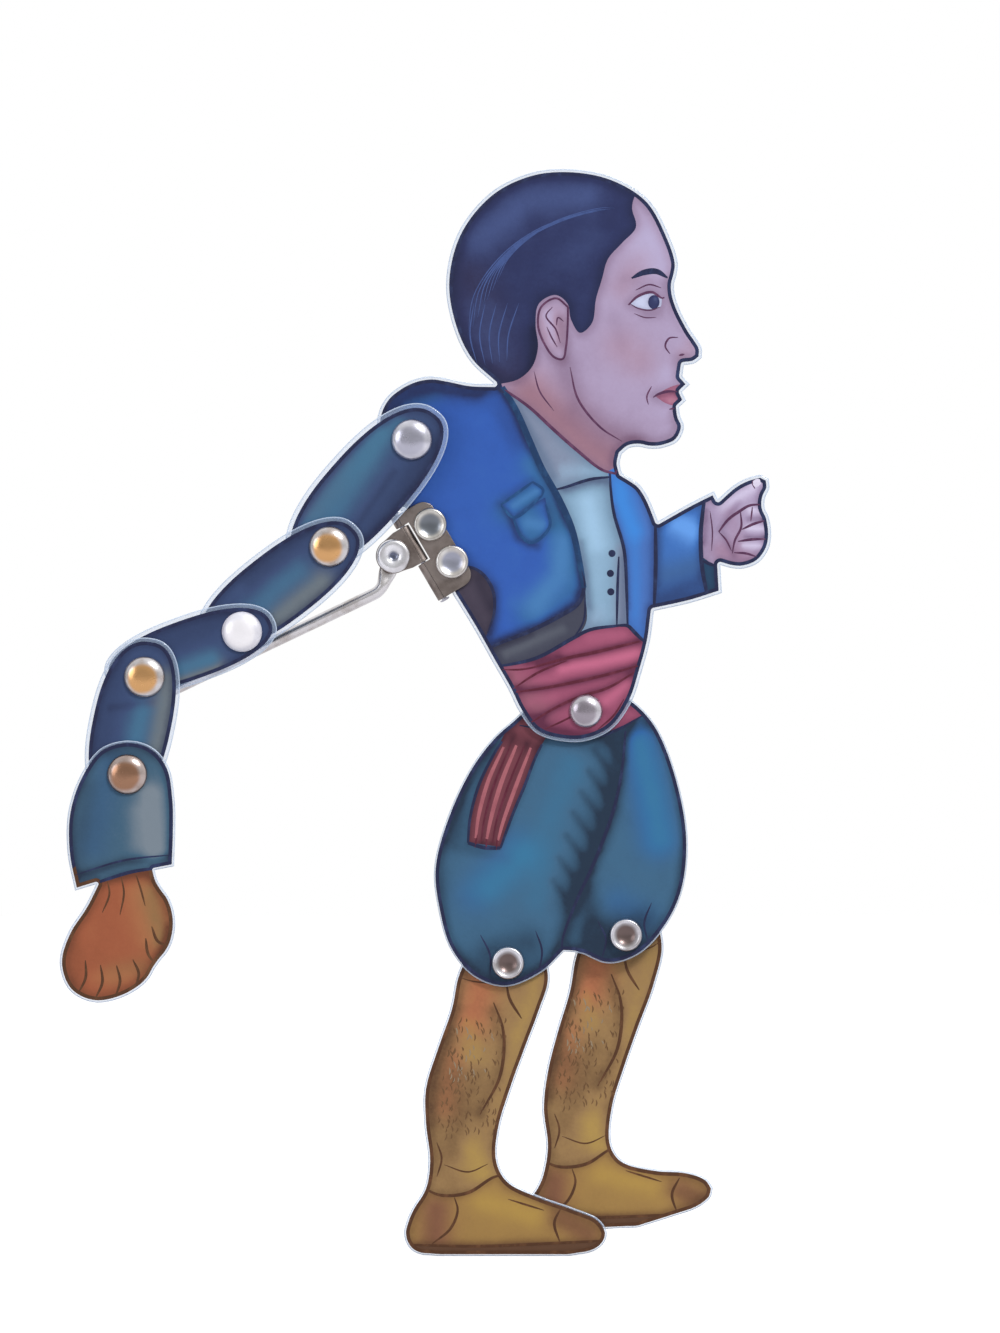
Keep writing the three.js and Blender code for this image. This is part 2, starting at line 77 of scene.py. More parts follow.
# Brush lines: their closest points, the share of a line's width that stays inside the artwork,
# how much they thin towards their ends, how blunt the ends are, how they swell
FINEST_STEP = 0.15
KEPT_INSIDE = 0.3
TAPER = 0.85
BLUNT = 0.02
SWELL = 0.6

# A dot's crown, as (share of its radius, height in crowns)
DOT_CROWN = ((0, 2), (0.6, 1.5), (1, 0))

# Sides of the turned pieces, the rivet holes and the dots
ROUND_STEPS = 56
HOLE_STEPS = 32
DOT_STEPS = 20


# Curves in the plane of a sheet, in millimetres

def between(first, second, start, end, place):
    return first + (second - first) * (place - start) / (end - start)


def through(points, closed=False):
    """Dense points of a smooth curve through the given ones."""
    points = np.asarray(points, float)
    if closed:
        points = np.vstack([points[-1], points, points[:2]])
    else:
        points = np.vstack([2 * points[0] - points[1], points, 2 * points[-1] - points[-2]])
    curve = []
    for given in zip(points, points[1:], points[2:], points[3:]):
        spans = [max(np.linalg.norm(end - start), 1e-6) ** 0.5 for start, end in zip(given, given[1:])]
        knots = np.cumsum([0] + spans)
        place = np.linspace(knots[1], knots[2], SPAN_POINTS, endpoint=False)[:, None]
        straight = [between(given[i], given[i + 1], knots[i], knots[i + 1], place) for i in range(3)]
        bent = [between(straight[i], straight[i + 1], knots[i], knots[i + 2], place) for i in range(2)]
        curve.append(between(*bent, knots[1], knots[2], place))
    return np.vstack(curve if closed else [*curve, points[-2]])


def evenly(points, step, closed=False):
    """The same curve with its points at an even spacing."""
    points = np.vstack([points, points[:1]]) if closed else np.asarray(points, float)
    lengths = np.linalg.norm(np.diff(points, axis=0), axis=1)
    along = np.concatenate([[0], np.cumsum(lengths)])
    places = np.linspace(0, along[-1], max(2, round(along[-1] / step) + 1))
    even = np.column_stack([np.interp(places, along, points[:, axis]) for axis in (0, 1)])
    return even[:-1] if closed else even


def closed_curve(points, step=CURVE_STEP):
    """A closed outline, smooth between its corners; a point with a third value is a corner."""
    corners = [index for index, point in enumerate(points) if len(point) > 2]
    flat = [point[:2] for point in points]
    if not corners:
        return evenly(through(flat, closed=True), step, closed=True)
    runs = []
    for start, end in zip(corners, corners[1:] + [corners[0] + len(points)]):
        run = [flat[index % len(points)] for index in range(start, end + 1)]
        runs.append(evenly(through(run), step)[:-1])
    return np.vstack(runs)


def cross(first, second):
    return first[:, 0] * second[:, 1] - first[:, 1] * second[:, 0]


def turns(points):
    """Signed turn at each point of a closed outline."""
    before = points - np.roll(points, 1, axis=0)
    after = np.roll(points, -1, axis=0) - points
    return np.arctan2(cross(before, after), (before * after).sum(axis=1))


def area_of(points):
    return 0.5 * cross(points, np.roll(points, -1, axis=0)).sum()


def anticlockwise(points):
    return points if area_of(points) > 0 else points[::-1]


def inward(points, distance):
    """An anticlockwise outline moved inwards, with an arc of points round each of its corners."""
    before = points - np.roll(points, 1, axis=0)
    moved = []
    for point, first, turn in zip(points, before, turns(points)):
        steps = 1 + int(abs(turn) / ARC_STEP)
        start = math.atan2(first[0], -first[1])
        for index in range(steps):
            angle = start + turn * (index + 0.5) / steps
            moved.append(point + distance * np.array([math.cos(angle), math.sin(angle)]))
    return np.array(moved)


def within(points, outline):
    """True for each point inside a closed outline."""
    x, y = points[:, 0], points[:, 1]
    inside = np.zeros(len(points), bool)
    for (ax, ay), (bx, by) in zip(outline, np.roll(outline, -1, axis=0)):
        if ay != by:
            crosses = (ay > y) != (by > y)
            inside ^= crosses & (x < (bx - ax) * (y - ay) / (by - ay) + ax)
    return inside


def nearest(points, samples):
    """Distance from each point to the nearest sample."""
    tree = KDTree(len(samples))
    for index, (x, y) in enumerate(samples):
        tree.insert((x, y, 0), index)
    tree.balance()
    return np.array([tree.find((x, y, 0))[2] for x, y in points])


def away_from(points, path):
    """Distance from each point to a path of straight stretches."""
    path = np.asarray(path, float)
    least = np.linalg.norm(points - path[0], axis=1)
    for start, end in zip(path[:-1], path[1:]):
        run = end - start
        share = np.clip(((points - start) @ run) / max(run @ run, 1e-9), 0, 1)
        least = np.minimum(least, np.linalg.norm(points - start - share[:, None] * run, axis=1))
    return least


def triangles_over(closed_paths, loose=()):
    """Triangles that keep every closed path as edges: their corner points, three indices each, and
    for each corner the number of the given point that it is."""
    corners, edges = [], []
    for path in closed_paths:
        first, count = len(corners), len(path)
        corners += [Vector(point) for point in path]
        edges += [(first + index, first + (index + 1) % count) for index in range(count)]
    corners += [Vector(point) for point in loose]
    made = delaunay_2d_cdt(corners, edges, [], 0, 1e-5)
    points, triangles = np.array([point[:] for point in made[0]]), np.array(made[2])
    given = np.array([numbers[0] if numbers else -1 for numbers in made[3]])
    a, b, c = (points[triangles[:, index]] for index in range(3))
    turned_over = cross(b - a, c - a) < 0
    triangles[turned_over] = triangles[turned_over][:, ::-1]
    return points, triangles, given


def compact(points, triangles):
    """Only the points that the triangles need, and the triangles between them."""
    used, faces = np.unique(triangles, return_inverse=True)
    return points[used], faces.reshape(-1, 3)


def hex_points(low, high, pitch):
    rows = np.arange(low[1], high[1], pitch * math.sqrt(3) / 2)
    columns = np.arange(low[0], high[0], pitch)
    return np.array([(x + (row % 2) * pitch / 2, y) for row, y in enumerate(rows) for x in columns])


def ring_of(count):
    """Points round a circle of radius 1."""
    angles = np.linspace(0, 2 * math.pi, count, endpoint=False)
    return np.column_stack([np.cos(angles), np.sin(angles)])


def arc(middle, radius, start, end, count):
    """Points of an arc, from one angle to another in degrees."""
    angles = np.radians(np.linspace(start, end, count))
    return [(middle[0] + radius * math.cos(a), middle[1] + radius * math.sin(a)) for a in angles]


# Sheets of the frame

def spot_of(joint):
    return Vector(joints[joint]["pos_m"])


def loops_of(node):
    """Closed loops of [x, z] round a sheet's front face, in millimetres, its outer edge first."""
    mesh = frame["nodes"][node].data
    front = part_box(node)[0].y / MM
    edges = {}
    for polygon in mesh.polygons:
        corners = [mesh.vertices[index].co / MM for index in polygon.vertices]
        if all(abs(corner.y - front) < 0.001 for corner in corners):
            flat = [(round(corner.x, 3), round(corner.z, 3)) for corner in corners]
            for start, end in zip(flat, flat[1:] + flat[:1]):
                if not edges.pop((end, start), False):
                    edges[start, end] = True
    following = dict(edges.keys())
    loops = []
    while following:
        start, point = following.popitem()
        loop = [start]
        while point != start:
            loop.append(point)
            point = following.pop(point)
        loops.append(anticlockwise(np.array(loop)))
    return sorted(loops, key=area_of, reverse=True)


class Sheet:
    """A clear sheet of the frame, on the body of its name. Its artwork is drawn [across, up] in
    millimetres from its upper joint, leans with the sheet, and leaves a clear rim at its edge."""

    def __init__(self, name, joint, rim, lean=0.0):
        self.name, self.node, self.rim = name, f"{name}_sheet", rim
        self.origin = spot_of(joint)
        self.cos, self.sin = math.cos(lean), math.sin(lean)
        low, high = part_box(self.node)
        self.front, self.back = low.y, high.y
        rough, *holes = [self.drawn(loop) for loop in loops_of(self.node)]
        sharp = np.abs(turns(rough)) > CORNER_TURN
        self.edge = closed_curve([(*point, 1) if corner else tuple(point) for point, corner in zip(rough, sharp)])
        self.samples = evenly(self.edge, SAMPLE_STEP, closed=True)
        self.holes = [loop.mean(axis=0) + np.ptp(loop[:, 0]) / 2 * ring_of(HOLE_STEPS) for loop in holes]

    def drawn(self, places):
        """[x, z] of the frame, in millimetres, as the sheet's own [across, up]."""
        dx, dz = places[:, 0] - self.origin.x / MM, places[:, 1] - self.origin.z / MM
        return np.column_stack([self.cos * dx - self.sin * dz, self.sin * dx + self.cos * dz])

    def placed(self, points, y):
        """[across, up] points as places of the frame, in metres, at a depth y."""
        across, up = points[:, 0] * MM, points[:, 1] * MM
        x = self.origin.x + self.cos * across + self.sin * up
        z = self.origin.z - self.sin * across + self.cos * up
        return np.column_stack([x, np.broadcast_to(y, len(points)), z])

    def depth(self, points):
        """How far inside the sheet's edge each point is; less than 0 outside."""
        return np.where(within(points, self.edge), 1, -1) * nearest(points, self.samples)


SHEETS = {}
for name, joint, rim in (
    ("torso", "waist_swing", 0.8), ("breeches", "waist_swing", 0.4),
    ("near_leg", "near_knee_kick", 0.5), ("far_leg", "far_knee_kick", 0.5),
):
    SHEETS[name] = Sheet(name, joint, rim)
for name, upper, lower, rim in (
    ("upper_arm", "shoulder_swing", "elbow_fold", 1.2), ("elbow", "elbow_fold", "forearm_fold", 1.1),
    ("forearm", "forearm_fold", "lower_arm_fold", 1.1), ("lower_arm", "lower_arm_fold", "hand_fold", 1.0),
):
    run = spot_of(lower) - spot_of(upper)
    SHEETS[name] = Sheet(name, upper, rim, math.atan2(-run.x, -run.z))
SHEETS["hand"] = Sheet("hand", "hand_fold", 0.6, math.radians(2))


# Meshes

def piece(name, points, faces, material, body, smooth=None):
    """A mesh of the frame's own places that rides on a body; smooth is the angle of its sharp edges."""
    mesh = bpy.data.meshes.new(name)
    mesh.from_pydata([tuple(point) for point in points], [], [tuple(int(i) for i in face) for face in faces])
    mesh.materials.append(material)
    if smooth is not None:
        mesh.shade_smooth()
        mesh.set_sharp_from_angle(angle=math.radians(smooth))
    made = bpy.data.objects.new(name, mesh)
    bpy.context.scene.collection.objects.link(made)
    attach(made, body)
    return made


def solid(name, node, points, faces, material, body, smooth=40):
    """A closed piece, its faces turned outwards, in place of a node of the frame."""
    made = piece(name, points, faces, material, body, smooth)
    mesh = bmesh.new()
    mesh.from_mesh(made.data)
    bmesh.ops.recalc_face_normals(mesh, faces=mesh.faces)
    mesh.to_mesh(made.data)
    mesh.free()
    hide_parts(node)
    return made


def add_values(made, name, values):
    attribute = made.data.attributes.new(name, "FLOAT", "POINT")
    attribute.data.foreach_set("value", np.asarray(values, np.float32))


def moved_on(faces, first):
    """Faces whose points start at a later number."""
    return [tuple(index + first for index in face) for face in faces]


def join_rings(first, second, count):
    """Faces between two rings of the same count of points."""
    return [(first + i, first + (i + 1) % count, second + (i + 1) % count, second + i) for i in range(count)]


def lathe(profile, steps):
    """A profile of (radius, height) turned about a line: [across, up, height] points, and faces. A
    radius of 0 is a tip, and a profile that starts away from the line closes on itself."""
    points, faces, rings = [], [], []
    for radius, height in profile:
        ring = radius * ring_of(steps)[:steps if radius else 1]
        rings.append((len(points), len(ring)))
        points += [(across, up, height) for across, up in ring]
    for (first, count), (second, other) in zip(rings, rings[1:] + (rings[:1] if profile[0][0] else [])):
        for step in range(steps):
            corners = (first + step % count, first + (step + 1) % count,
                       second + (step + 1) % other, second + step % other)
            faces.append(tuple(dict.fromkeys(corners)))
    return np.array(points), faces


def loop_normals(loop):
    """Inward normal at each point of an anticlockwise loop."""
    along = np.roll(loop, -1, axis=0) - np.roll(loop, 1, axis=0)
    along /= np.linalg.norm(along, axis=1, keepdims=True)
    return np.column_stack([-along[:, 1], along[:, 0]])


def slab(edge, holes, front, back, rounding):
    """A flat plate with rounded rims: [across, y, up] points and faces, in millimetres, and how far
    each point lies on the cut edge."""
    quarter = [math.pi / 2 * step / RIM_STEPS for step in range(RIM_STEPS + 1)]
    rings = [(front + rounding * (1 - math.cos(turn)), math.sin(turn)) for turn in quarter]
    rings += [(back - rounding * (1 - math.cos(turn)), math.sin(turn)) for turn in quarter[::-1]]
    points, faces, cut, paths, ends = [], [], [], [], []
    for loop, side in zip([edge, *holes], [1] + [-1] * len(holes)):
        normals = side * loop_normals(loop)
        starts = []
        for y, cutness in rings:
            starts.append(len(points))
            points += [(x, y, z) for x, z in loop + rounding * (1 - cutness) * normals]
            cut += [cutness] * len(loop)
        for first, second in zip(starts, starts[1:]):
            faces += [face[::side] for face in join_rings(first, second, len(loop))]
        paths.append(loop + rounding * normals)
        ends.append((starts[0], starts[-1]))
    corners, triangles, given = triangles_over(paths)
    middles = corners[triangles].mean(axis=1)
    kept = within(middles, paths[0])
    for hole in paths[1:]:
        kept &= ~within(middles, hole)
    for end, way in ((0, 1), (1, -1)):
        numbers = np.concatenate([np.arange(len(path)) + first[end] for path, first in zip(paths, ends)])
        flat = numbers[given[triangles[kept]]]
        faces += [tuple(face[::way]) for face in flat if len(set(face)) == 3]
    return np.array(points), faces, cut


def clear_sheet(sheet):
    """The plastic itself, with its rivet holes and rounded cut edge."""
    points, faces, cut = slab(sheet.edge, sheet.holes, sheet.front / MM, sheet.back / MM, CUT_ROUNDING)
    placed = sheet.placed(points[:, [0, 2]], points[:, 1] * MM)
    made = solid(f"{sheet.name}_plastic", sheet.node, placed, faces, CLEAR_FILM, sheet.name, 50)
    add_values(made, "cut_edge", cut)


def film(sheet, name, points, faces, lifts, material, slot):
    """Paint or ink on the front of a sheet and its mirror on the back, at heights in millimetres."""
    lifts = np.broadcast_to(np.asarray(lifts, float), len(points)) * MM
    placed = np.vstack([sheet.placed(points, sheet.front - lifts), sheet.placed(points, sheet.back + lifts)])
    behind = moved_on([face[::-1] for face in faces], len(points))
    return piece(name, placed, [*faces, *behind], material, sheet.name)


def fading(distance, reach, strength):
    return strength * np.exp(-2 * (distance / reach) ** 2)


def soft(points, passes):
    """Sum of airbrush passes, each a path, its reach in millimetres and its strength."""
    return sum((fading(away_from(points, path), *rest) for path, *rest in passes), np.zeros(len(points)))


class Area:
    """An area of a sheet's artwork: its outline, its paint with the slot, its airbrush passes as
    (path, reach, strength), and the darkening along its border as (reach, strength)."""

    def __init__(self, name, outline, paint, shade=(), tint=(), border=(2.2, -0.45)):
        self.name, self.outline, self.shade, self.tint, self.border = name, outline, shade, tint, border
        self.material, self.slot = paint


def paint_area(sheet, area, prefix, points, triangles):
    """One painted area as a thin film on both faces of its sheet, with its shading on its points."""
    points, faces = compact(points, triangles)
    sides = np.sort(np.vstack([faces[:, [0, 1]], faces[:, [1, 2]], faces[:, [2, 0]]]), axis=1)
    ends, counts = np.unique(sides, axis=0, return_counts=True)
    border = points[np.unique(ends[counts == 1])]
    shade = fading(nearest(points, border), *area.border) + soft(points, area.shade)
    name = f"painted_{prefix}{area.name}"
    made = film(sheet, name, points, faces, PAINT_LIFT, area.material, area.slot)
    add_values(made, "shade", np.tile(np.clip(shade, -1, 1), 2))
    add_values(made, "tint", np.tile(np.clip(soft(points, area.tint), 0, 1), 2))


def paint_sheet(sheet, areas, contour_ink, prefix="", lower=(-math.inf, None)):
    """Paints a sheet's areas, the later ones over the earlier, and the contour round them all;
    lower is a height and the ink of the contour below it."""
    inside = sheet.rim + CONTOUR
    lines = [inward(sheet.edge, sheet.rim), inward(sheet.edge, inside)]
    lines += [closed_curve(area.outline) for area in areas]
    grid = hex_points(sheet.edge.min(axis=0), sheet.edge.max(axis=0), PAINT_PITCH)
    grid = grid[sheet.depth(grid) > inside]
    grid = grid[nearest(grid, np.vstack(lines)) > CLEAR_OF_OUTLINES * PAINT_PITCH]
    points, triangles, _ = triangles_over(lines, grid)
    middles = points[triangles].mean(axis=1)
    depth = sheet.depth(middles) + CONTOUR_SLACK
    owner = np.full(len(triangles), -1)
    for number, outline in enumerate(lines[2:]):
        owner[within(middles, outline)] = number
    owner[depth < inside] = len(areas)
    owner[depth < sheet.rim] = -1
    for number, area in enumerate(areas):
        if (owner == number).any():
            paint_area(sheet, area, prefix, points, triangles[owner == number])
    drawn = owner == len(areas)
    below = middles[:, 1] < lower[0]
    for part, ink, chosen in (("contour", contour_ink, drawn & ~below), ("lower_contour", lower[1], drawn & below)):
        if chosen.any():
            film(sheet, f"{sheet.name}_{part}", *compact(points, triangles[chosen]), INK_LIFT, ink, "line_paint")


def ribbon(path, width, taper):
    """A brush line along a path: points, faces and heights over the paint."""
    along = np.gradient(path, axis=0)
    along /= np.maximum(np.linalg.norm(along, axis=1, keepdims=True), 1e-9)
    normal = np.column_stack([-along[:, 1], along[:, 0]])
    swell = np.sin(math.pi * np.clip(np.linspace(0, 1, len(path)), BLUNT, 1 - BLUNT)) ** SWELL
    half = 0.5 * width * (1 - taper + taper * swell)[:, None]
    rows = np.stack([path - half * normal, path, path + half * normal], axis=1)
    firsts = [3 * index + column for index in range(len(path) - 1) for column in (0, 1)]
    lifts = [INK_LIFT, INK_LIFT + INK_CROWN, INK_LIFT] * len(path)
    return rows.reshape(-1, 2), [(a, a + 3, a + 4, a + 1) for a in firsts], lifts


def ink_lines(sheet, name, strokes, ink):
    """Brush lines on both faces of a sheet, kept inside its artwork. A stroke is its points, its
    width, and how much it thins towards its ends."""
    points, faces, lifts = [], [], []
    for path, width, *rest in strokes:
        curve = evenly(through(path), min(CURVE_STEP, max(FINEST_STEP, width)))
        kept = sheet.depth(curve) > sheet.rim + KEPT_INSIDE * width
        for run in np.split(np.arange(len(curve)), np.flatnonzero(np.diff(kept)) + 1):
            if len(run) > 2 and kept[run[0]]:
                rows, quads, heights = ribbon(curve[run], width, *(rest or [TAPER]))
                faces += moved_on(quads, len(points))
                points += list(rows)
                lifts += heights
    film(sheet, name, np.array(points), faces, lifts, ink, "line_paint")


def dots(sheet, name, places, radius, ink):
    """Small round dabs of ink, slightly domed."""
    crown = [(share * radius, INK_LIFT + height * INK_CROWN) for share, height in DOT_CROWN]
    dot, sides = lathe(crown, DOT_STEPS)
    points = np.vstack([dot + (*place, 0) for place in places])
    faces = [face[::-1] for number in range(len(places)) for face in moved_on(sides, number * len(dot))]
    film(sheet, name, points[:, :2], faces, points[:, 2], ink, "line_paint")


# Materials

def color(red, green, blue):
    """A colour as it reads on a screen, each value 0 to 1."""
    values = (red, green, blue)
    linear = [value / 12.92 if value <= 0.04045 else ((value + 0.055) / 1.055) ** 2.4 for value in values]
    return (*linear, 1)


def new_group(name, inputs, outputs):
    group = bpy.data.node_groups.new(name, "ShaderNodeTree")
    kinds = {float: "NodeSocketFloat", tuple: "NodeSocketColor"}
    for label, value in inputs.items():
        socket = group.interface.new_socket(name=label, in_out="INPUT", socket_type=kinds[type(value)])
        socket.default_value = value
    for label, kind in outputs.items():
        group.interface.new_socket(name=label, in_out="OUTPUT", socket_type=kinds[kind])
    return group, group.nodes.new("NodeGroupInput").outputs, group.nodes.new("NodeGroupOutput").inputs


def add(tree, kind, values, **settings):
    """A shader node with its settings, and its inputs set to numbers or linked to sockets."""
    node = tree.nodes.new(kind)
    for name, value in settings.items():
        setattr(node, name, value)
    for name, value in values.items():
        if isinstance(value, bpy.types.NodeSocket):
            tree.links.new(value, node.inputs[name])
        else:
            node.inputs[name].default_value = value
    return node.outputs


def mixed(tree, share, first, second):
    return add(tree, "ShaderNodeMix", {0: share, 6: first, 7: second}, data_type="RGBA")[2]


def calc(tree, first, way, second):
    return add(tree, "ShaderNodeMath", {0: first, 1: second}, operation=way)[0]


def swing(tree, value, middle, strength):
    """How far a value lies from its middle, times a strength."""
    return calc(tree, calc(tree, value, "SUBTRACT", middle), "MULTIPLY", strength)


def ramp(tree, value, start, end, low=0.0, high=1.0):
    """A value's way from start to end, as a number from low to high."""
    values = {"Value": value, "From Min": start, "From Max": end, "To Min": low, "To Max": high}
    return add(tree, "ShaderNodeMapRange", values)[0]


def noise_of(tree, scale, detail, stretch=(1, 1, 1)):
    """Noise in the object's own space; scale is cells per metre."""
    place = add(tree, "ShaderNodeTexCoord", {})["Object"]
    stretched = add(tree, "ShaderNodeMapping", {"Vector": place, "Scale": stretch})[0]
    return add(tree, "ShaderNodeTexNoise", {"Vector": stretched, "Scale": scale, "Detail": detail})["Fac"]


def airbrush_group():
    """Paint whose colour goes from dark to light with the shading, and turns to a second colour."""
    inputs = {name: (0.5, 0.5, 0.5, 1) for name in ("Base", "Dark", "Light", "Tint")}
    inputs |= {"Shade": 0.0, "Tinting": 0.0, "Mottle": 0.3}
    group, given, made = new_group("airbrush", inputs, {"Color": tuple})
    cloud = calc(group, noise_of(group, scale=170, detail=4.0), "SUBTRACT", 0.5)
    speck = swing(group, noise_of(group, scale=1400, detail=2.0), 0.5, 0.45)
    uneven = calc(group, cloud, "ADD", speck)
    shade = calc(group, given["Shade"], "ADD", calc(group, uneven, "MULTIPLY", given["Mottle"]))
    tinted = mixed(group, given["Tinting"], given["Base"], given["Tint"])
    lit = mixed(group, shade, tinted, given["Light"])
    darkness = calc(group, shade, "MULTIPLY", -1.0)
    group.links.new(mixed(group, darkness, lit, given["Dark"]), made["Color"])
    return group


def brush_grain_group():
    """Fine unevenness of a brushed or printed film."""
    inputs, outputs = {"Roughness": 0.4, "Spread": 0.1}, {"Roughness": float, "Height": float}
    group, given, made = new_group("brush grain", inputs, outputs)
    coarse = noise_of(group, scale=420, detail=3.0, stretch=(1, 1, 0.6))
    fine = calc(group, noise_of(group, scale=2600, detail=2.0), "MULTIPLY", 0.3)
    spread = swing(group, coarse, 0.5, given["Spread"])
    group.links.new(calc(group, given["Roughness"], "ADD", spread), made["Roughness"])
    group.links.new(calc(group, coarse, "ADD", fine), made["Height"])
    return group


def handling_group():
    """Smears and fine scratches that handling leaves on metal and plastic."""
    inputs = {"Roughness": 0.2, "Spread": 0.1, "Clean": (1, 1, 1, 1), "Dull": (0.5, 0.5, 0.5, 1)}
    outputs = {"Color": tuple, "Roughness": float, "Height": float}
    group, given, made = new_group("handling", inputs, outputs)
    smear = noise_of(group, scale=240, detail=4.0)
    scratch = noise_of(group, scale=900, detail=2.0, stretch=(9, 1, 1))
    scratch = calc(group, scratch, "MULTIPLY", 0.25)
    painted_reflection_and_shade = ramp(group, smear, 0.42, 0.72)
    spread = swing(group, smear, 0.45, given["Spread"])
    group.links.new(mixed(group, painted_reflection_and_shade, given["Clean"], given["Dull"]), made["Color"])
    group.links.new(calc(group, given["Roughness"], "ADD", spread), made["Roughness"])
    group.links.new(calc(group, smear, "ADD", scratch), made["Height"])
    return group


AIRBRUSH, BRUSH_GRAIN, HANDLING = airbrush_group(), brush_grain_group(), handling_group()

# Roughness of paint and ink, how much it varies, and how far a surface's grain stands up, in metres
BUMP_STRENGTH = 0.6
VARNISH = {"Specular_IOR_Level": 0.22, "Coat_Weight": 0.03, "Coat_Roughness": 0.2}
PAINT_ROUGHNESS, PAINT_SPREAD, PAINT_BUMP = 0.4, 0.25, 0.00004
INK_ROUGHNESS, INK_SPREAD = 0.42, 0.2
FINE_BUMP, SHEET_BUMP = 0.00003, 0.00002


def new_material(name, **plain):
    """A material, its nodes and its shader's inputs, with the values that are the same all over."""
    material = bpy.data.materials.new(name)
    material.use_nodes = True
    shader = material.node_tree.nodes["Principled BSDF"].inputs
    for label, value in plain.items():
        shader[label.replace("_", " ")].default_value = value
    return material, material.node_tree, shader


def dress(tree, shader, shown, surface, bump):
    """Gives the shader its colour, and a surface's roughness and unevenness; bump is in metres."""
    values = {"Height": surface["Height"], "Distance": bump, "Strength": BUMP_STRENGTH}
    tree.links.new(shown, shader["Base Color"])
    tree.links.new(surface["Roughness"], shader["Roughness"])
    tree.links.new(add(tree, "ShaderNodeBump", values)[0], shader["Normal"])


def value_of(tree, name):
    return add(tree, "ShaderNodeAttribute", {}, attribute_name=name)["Fac"]


def brushed(tree, roughness, spread):
    return add(tree, "ShaderNodeGroup", {"Roughness": roughness, "Spread": spread}, node_tree=BRUSH_GRAIN)


def handled(tree, clean, dull, roughness, spread):
    values = {"Clean": color(*clean), "Dull": color(*dull), "Roughness": roughness, "Spread": spread}
    return add(tree, "ShaderNodeGroup", values, node_tree=HANDLING)


def paint(name, slot, base, dark, light, tint=None, mottle=0.3):
    """Airbrushed paint under a thin varnish, with the record's slot that it belongs to."""
    material, tree, shader = new_material(name, **VARNISH)
    values = {"Base": color(*base), "Dark": color(*dark), "Light": color(*light), "Tint": color(*(tint or base)),
              "Shade": value_of(tree, "shade"), "Tinting": value_of(tree, "tint"), "Mottle": mottle}
    shown = add(tree, "ShaderNodeGroup", values, node_tree=AIRBRUSH)["Color"]
    dress(tree, shader, shown, brushed(tree, PAINT_ROUGHNESS, PAINT_SPREAD), PAINT_BUMP)
    return material, slot


def ink(name, main, thin):
    """Drawn line, a little thinner in colour where the brush ran dry."""
    material, tree, shader = new_material(name, **VARNISH)
    grain = brushed(tree, INK_ROUGHNESS, INK_SPREAD)
    dry = ramp(tree, grain["Height"], 0.62, 0.95)
    dress(tree, shader, mixed(tree, dry, color(*main), color(*thin)), grain, FINE_BUMP)
    return material


def clear_film():
    """Clear plastic; its cut edge is painted paler and less clear than its faces, a painted highlight along the
    edge.
    """
    material, tree, shader = new_material("clear_plastic", IOR=1.49)
    edge = value_of(tree, "cut_edge")
    surface = handled(tree, (0.81, 0.89, 1.0), (0.75, 0.83, 0.96), roughness=0.14, spread=0.1)
    # Painted highlight: towards the cut edge the plastic turns less clear and paler
    tree.links.new(ramp(tree, edge, 0.0, 1.0, low=0.24, high=0.86), shader["Alpha"])
    dress(tree, shader, mixed(tree, edge, surface["Color"], color(0.87, 0.93, 1.0)), surface, SHEET_BUMP)
    return material


def metal(name, clean, dull, painted_spot_color=None, roughness=0.24, spread=0.22, metallic=1.0):
    """Plated metal; a cap given a centre colour has it painted as a spot near its middle, a painted reflection and
    painted shade.
    """
    material, tree, shader = new_material(name, Metallic=metallic)
    surface = handled(tree, clean, dull, roughness, spread)
    shown = surface["Color"]
    if painted_spot_color:
        # Painted reflection and shade: the spot colour laid over the metal near the cap's middle
        shown = mixed(tree, value_of(tree, "painted_reflection_and_shade"), shown, color(*painted_spot_color))
    dress(tree, shader, shown, surface, FINE_BUMP)
    return material


def milky_plastic():
    material, tree, shader = new_material(
        "milky_spacer", IOR=1.5, Subsurface_Weight=0.3, Subsurface_Radius=(MM, MM, MM), Subsurface_Scale=1.0)
    surface = handled(tree, (0.86, 0.86, 0.88), (0.78, 0.78, 0.80), roughness=0.38, spread=0.15)
    dress(tree, shader, surface["Color"], surface, FINE_BUMP)
    return material


CLEAR_FILM = clear_film()
NAVY_INK = ink("navy_ink", (0.14, 0.16, 0.28), (0.2, 0.25, 0.4))
BROWN_INK = ink("brown_ink", (0.34, 0.22, 0.14), (0.46, 0.31, 0.2))
PLUM_INK = ink("plum_ink", (0.34, 0.2, 0.32), (0.46, 0.3, 0.42))
MAROON_INK = ink("maroon_ink", (0.36, 0.13, 0.2), (0.46, 0.2, 0.28))
BLUE_LINE = ink("blue_line", (0.12, 0.23, 0.38), (0.17, 0.33, 0.5))
POCKET_INK = ink("pocket_ink", (0.13, 0.28, 0.47), (0.18, 0.37, 0.57))
KNIT_INK = ink("knit_ink", (0.43, 0.31, 0.2), (0.5, 0.38, 0.25))
PINK_LINE = ink("pink_line", (0.68, 0.4, 0.43), (0.6, 0.33, 0.37))
GREY_LINE = ink("grey_line", (0.6, 0.53, 0.43), (0.55, 0.46, 0.36))
NAIL_LINE = ink("nail_line", (0.9, 0.87, 0.94), (0.82, 0.78, 0.88))
SHEEN_LINE = ink("sheen_line", (0.27, 0.35, 0.56), (0.22, 0.28, 0.47))


# Artwork, [across, up] in millimetres from each sheet's upper rivet. A third value of 1 is a corner.

def oblong(left, low, right, high):
    """Corners of an oblong that reaches past its sheet's edges where it has no edge of its own."""
    return [(left, low, 1), (right, low, 1), (right, high, 1), (left, high, 1)]


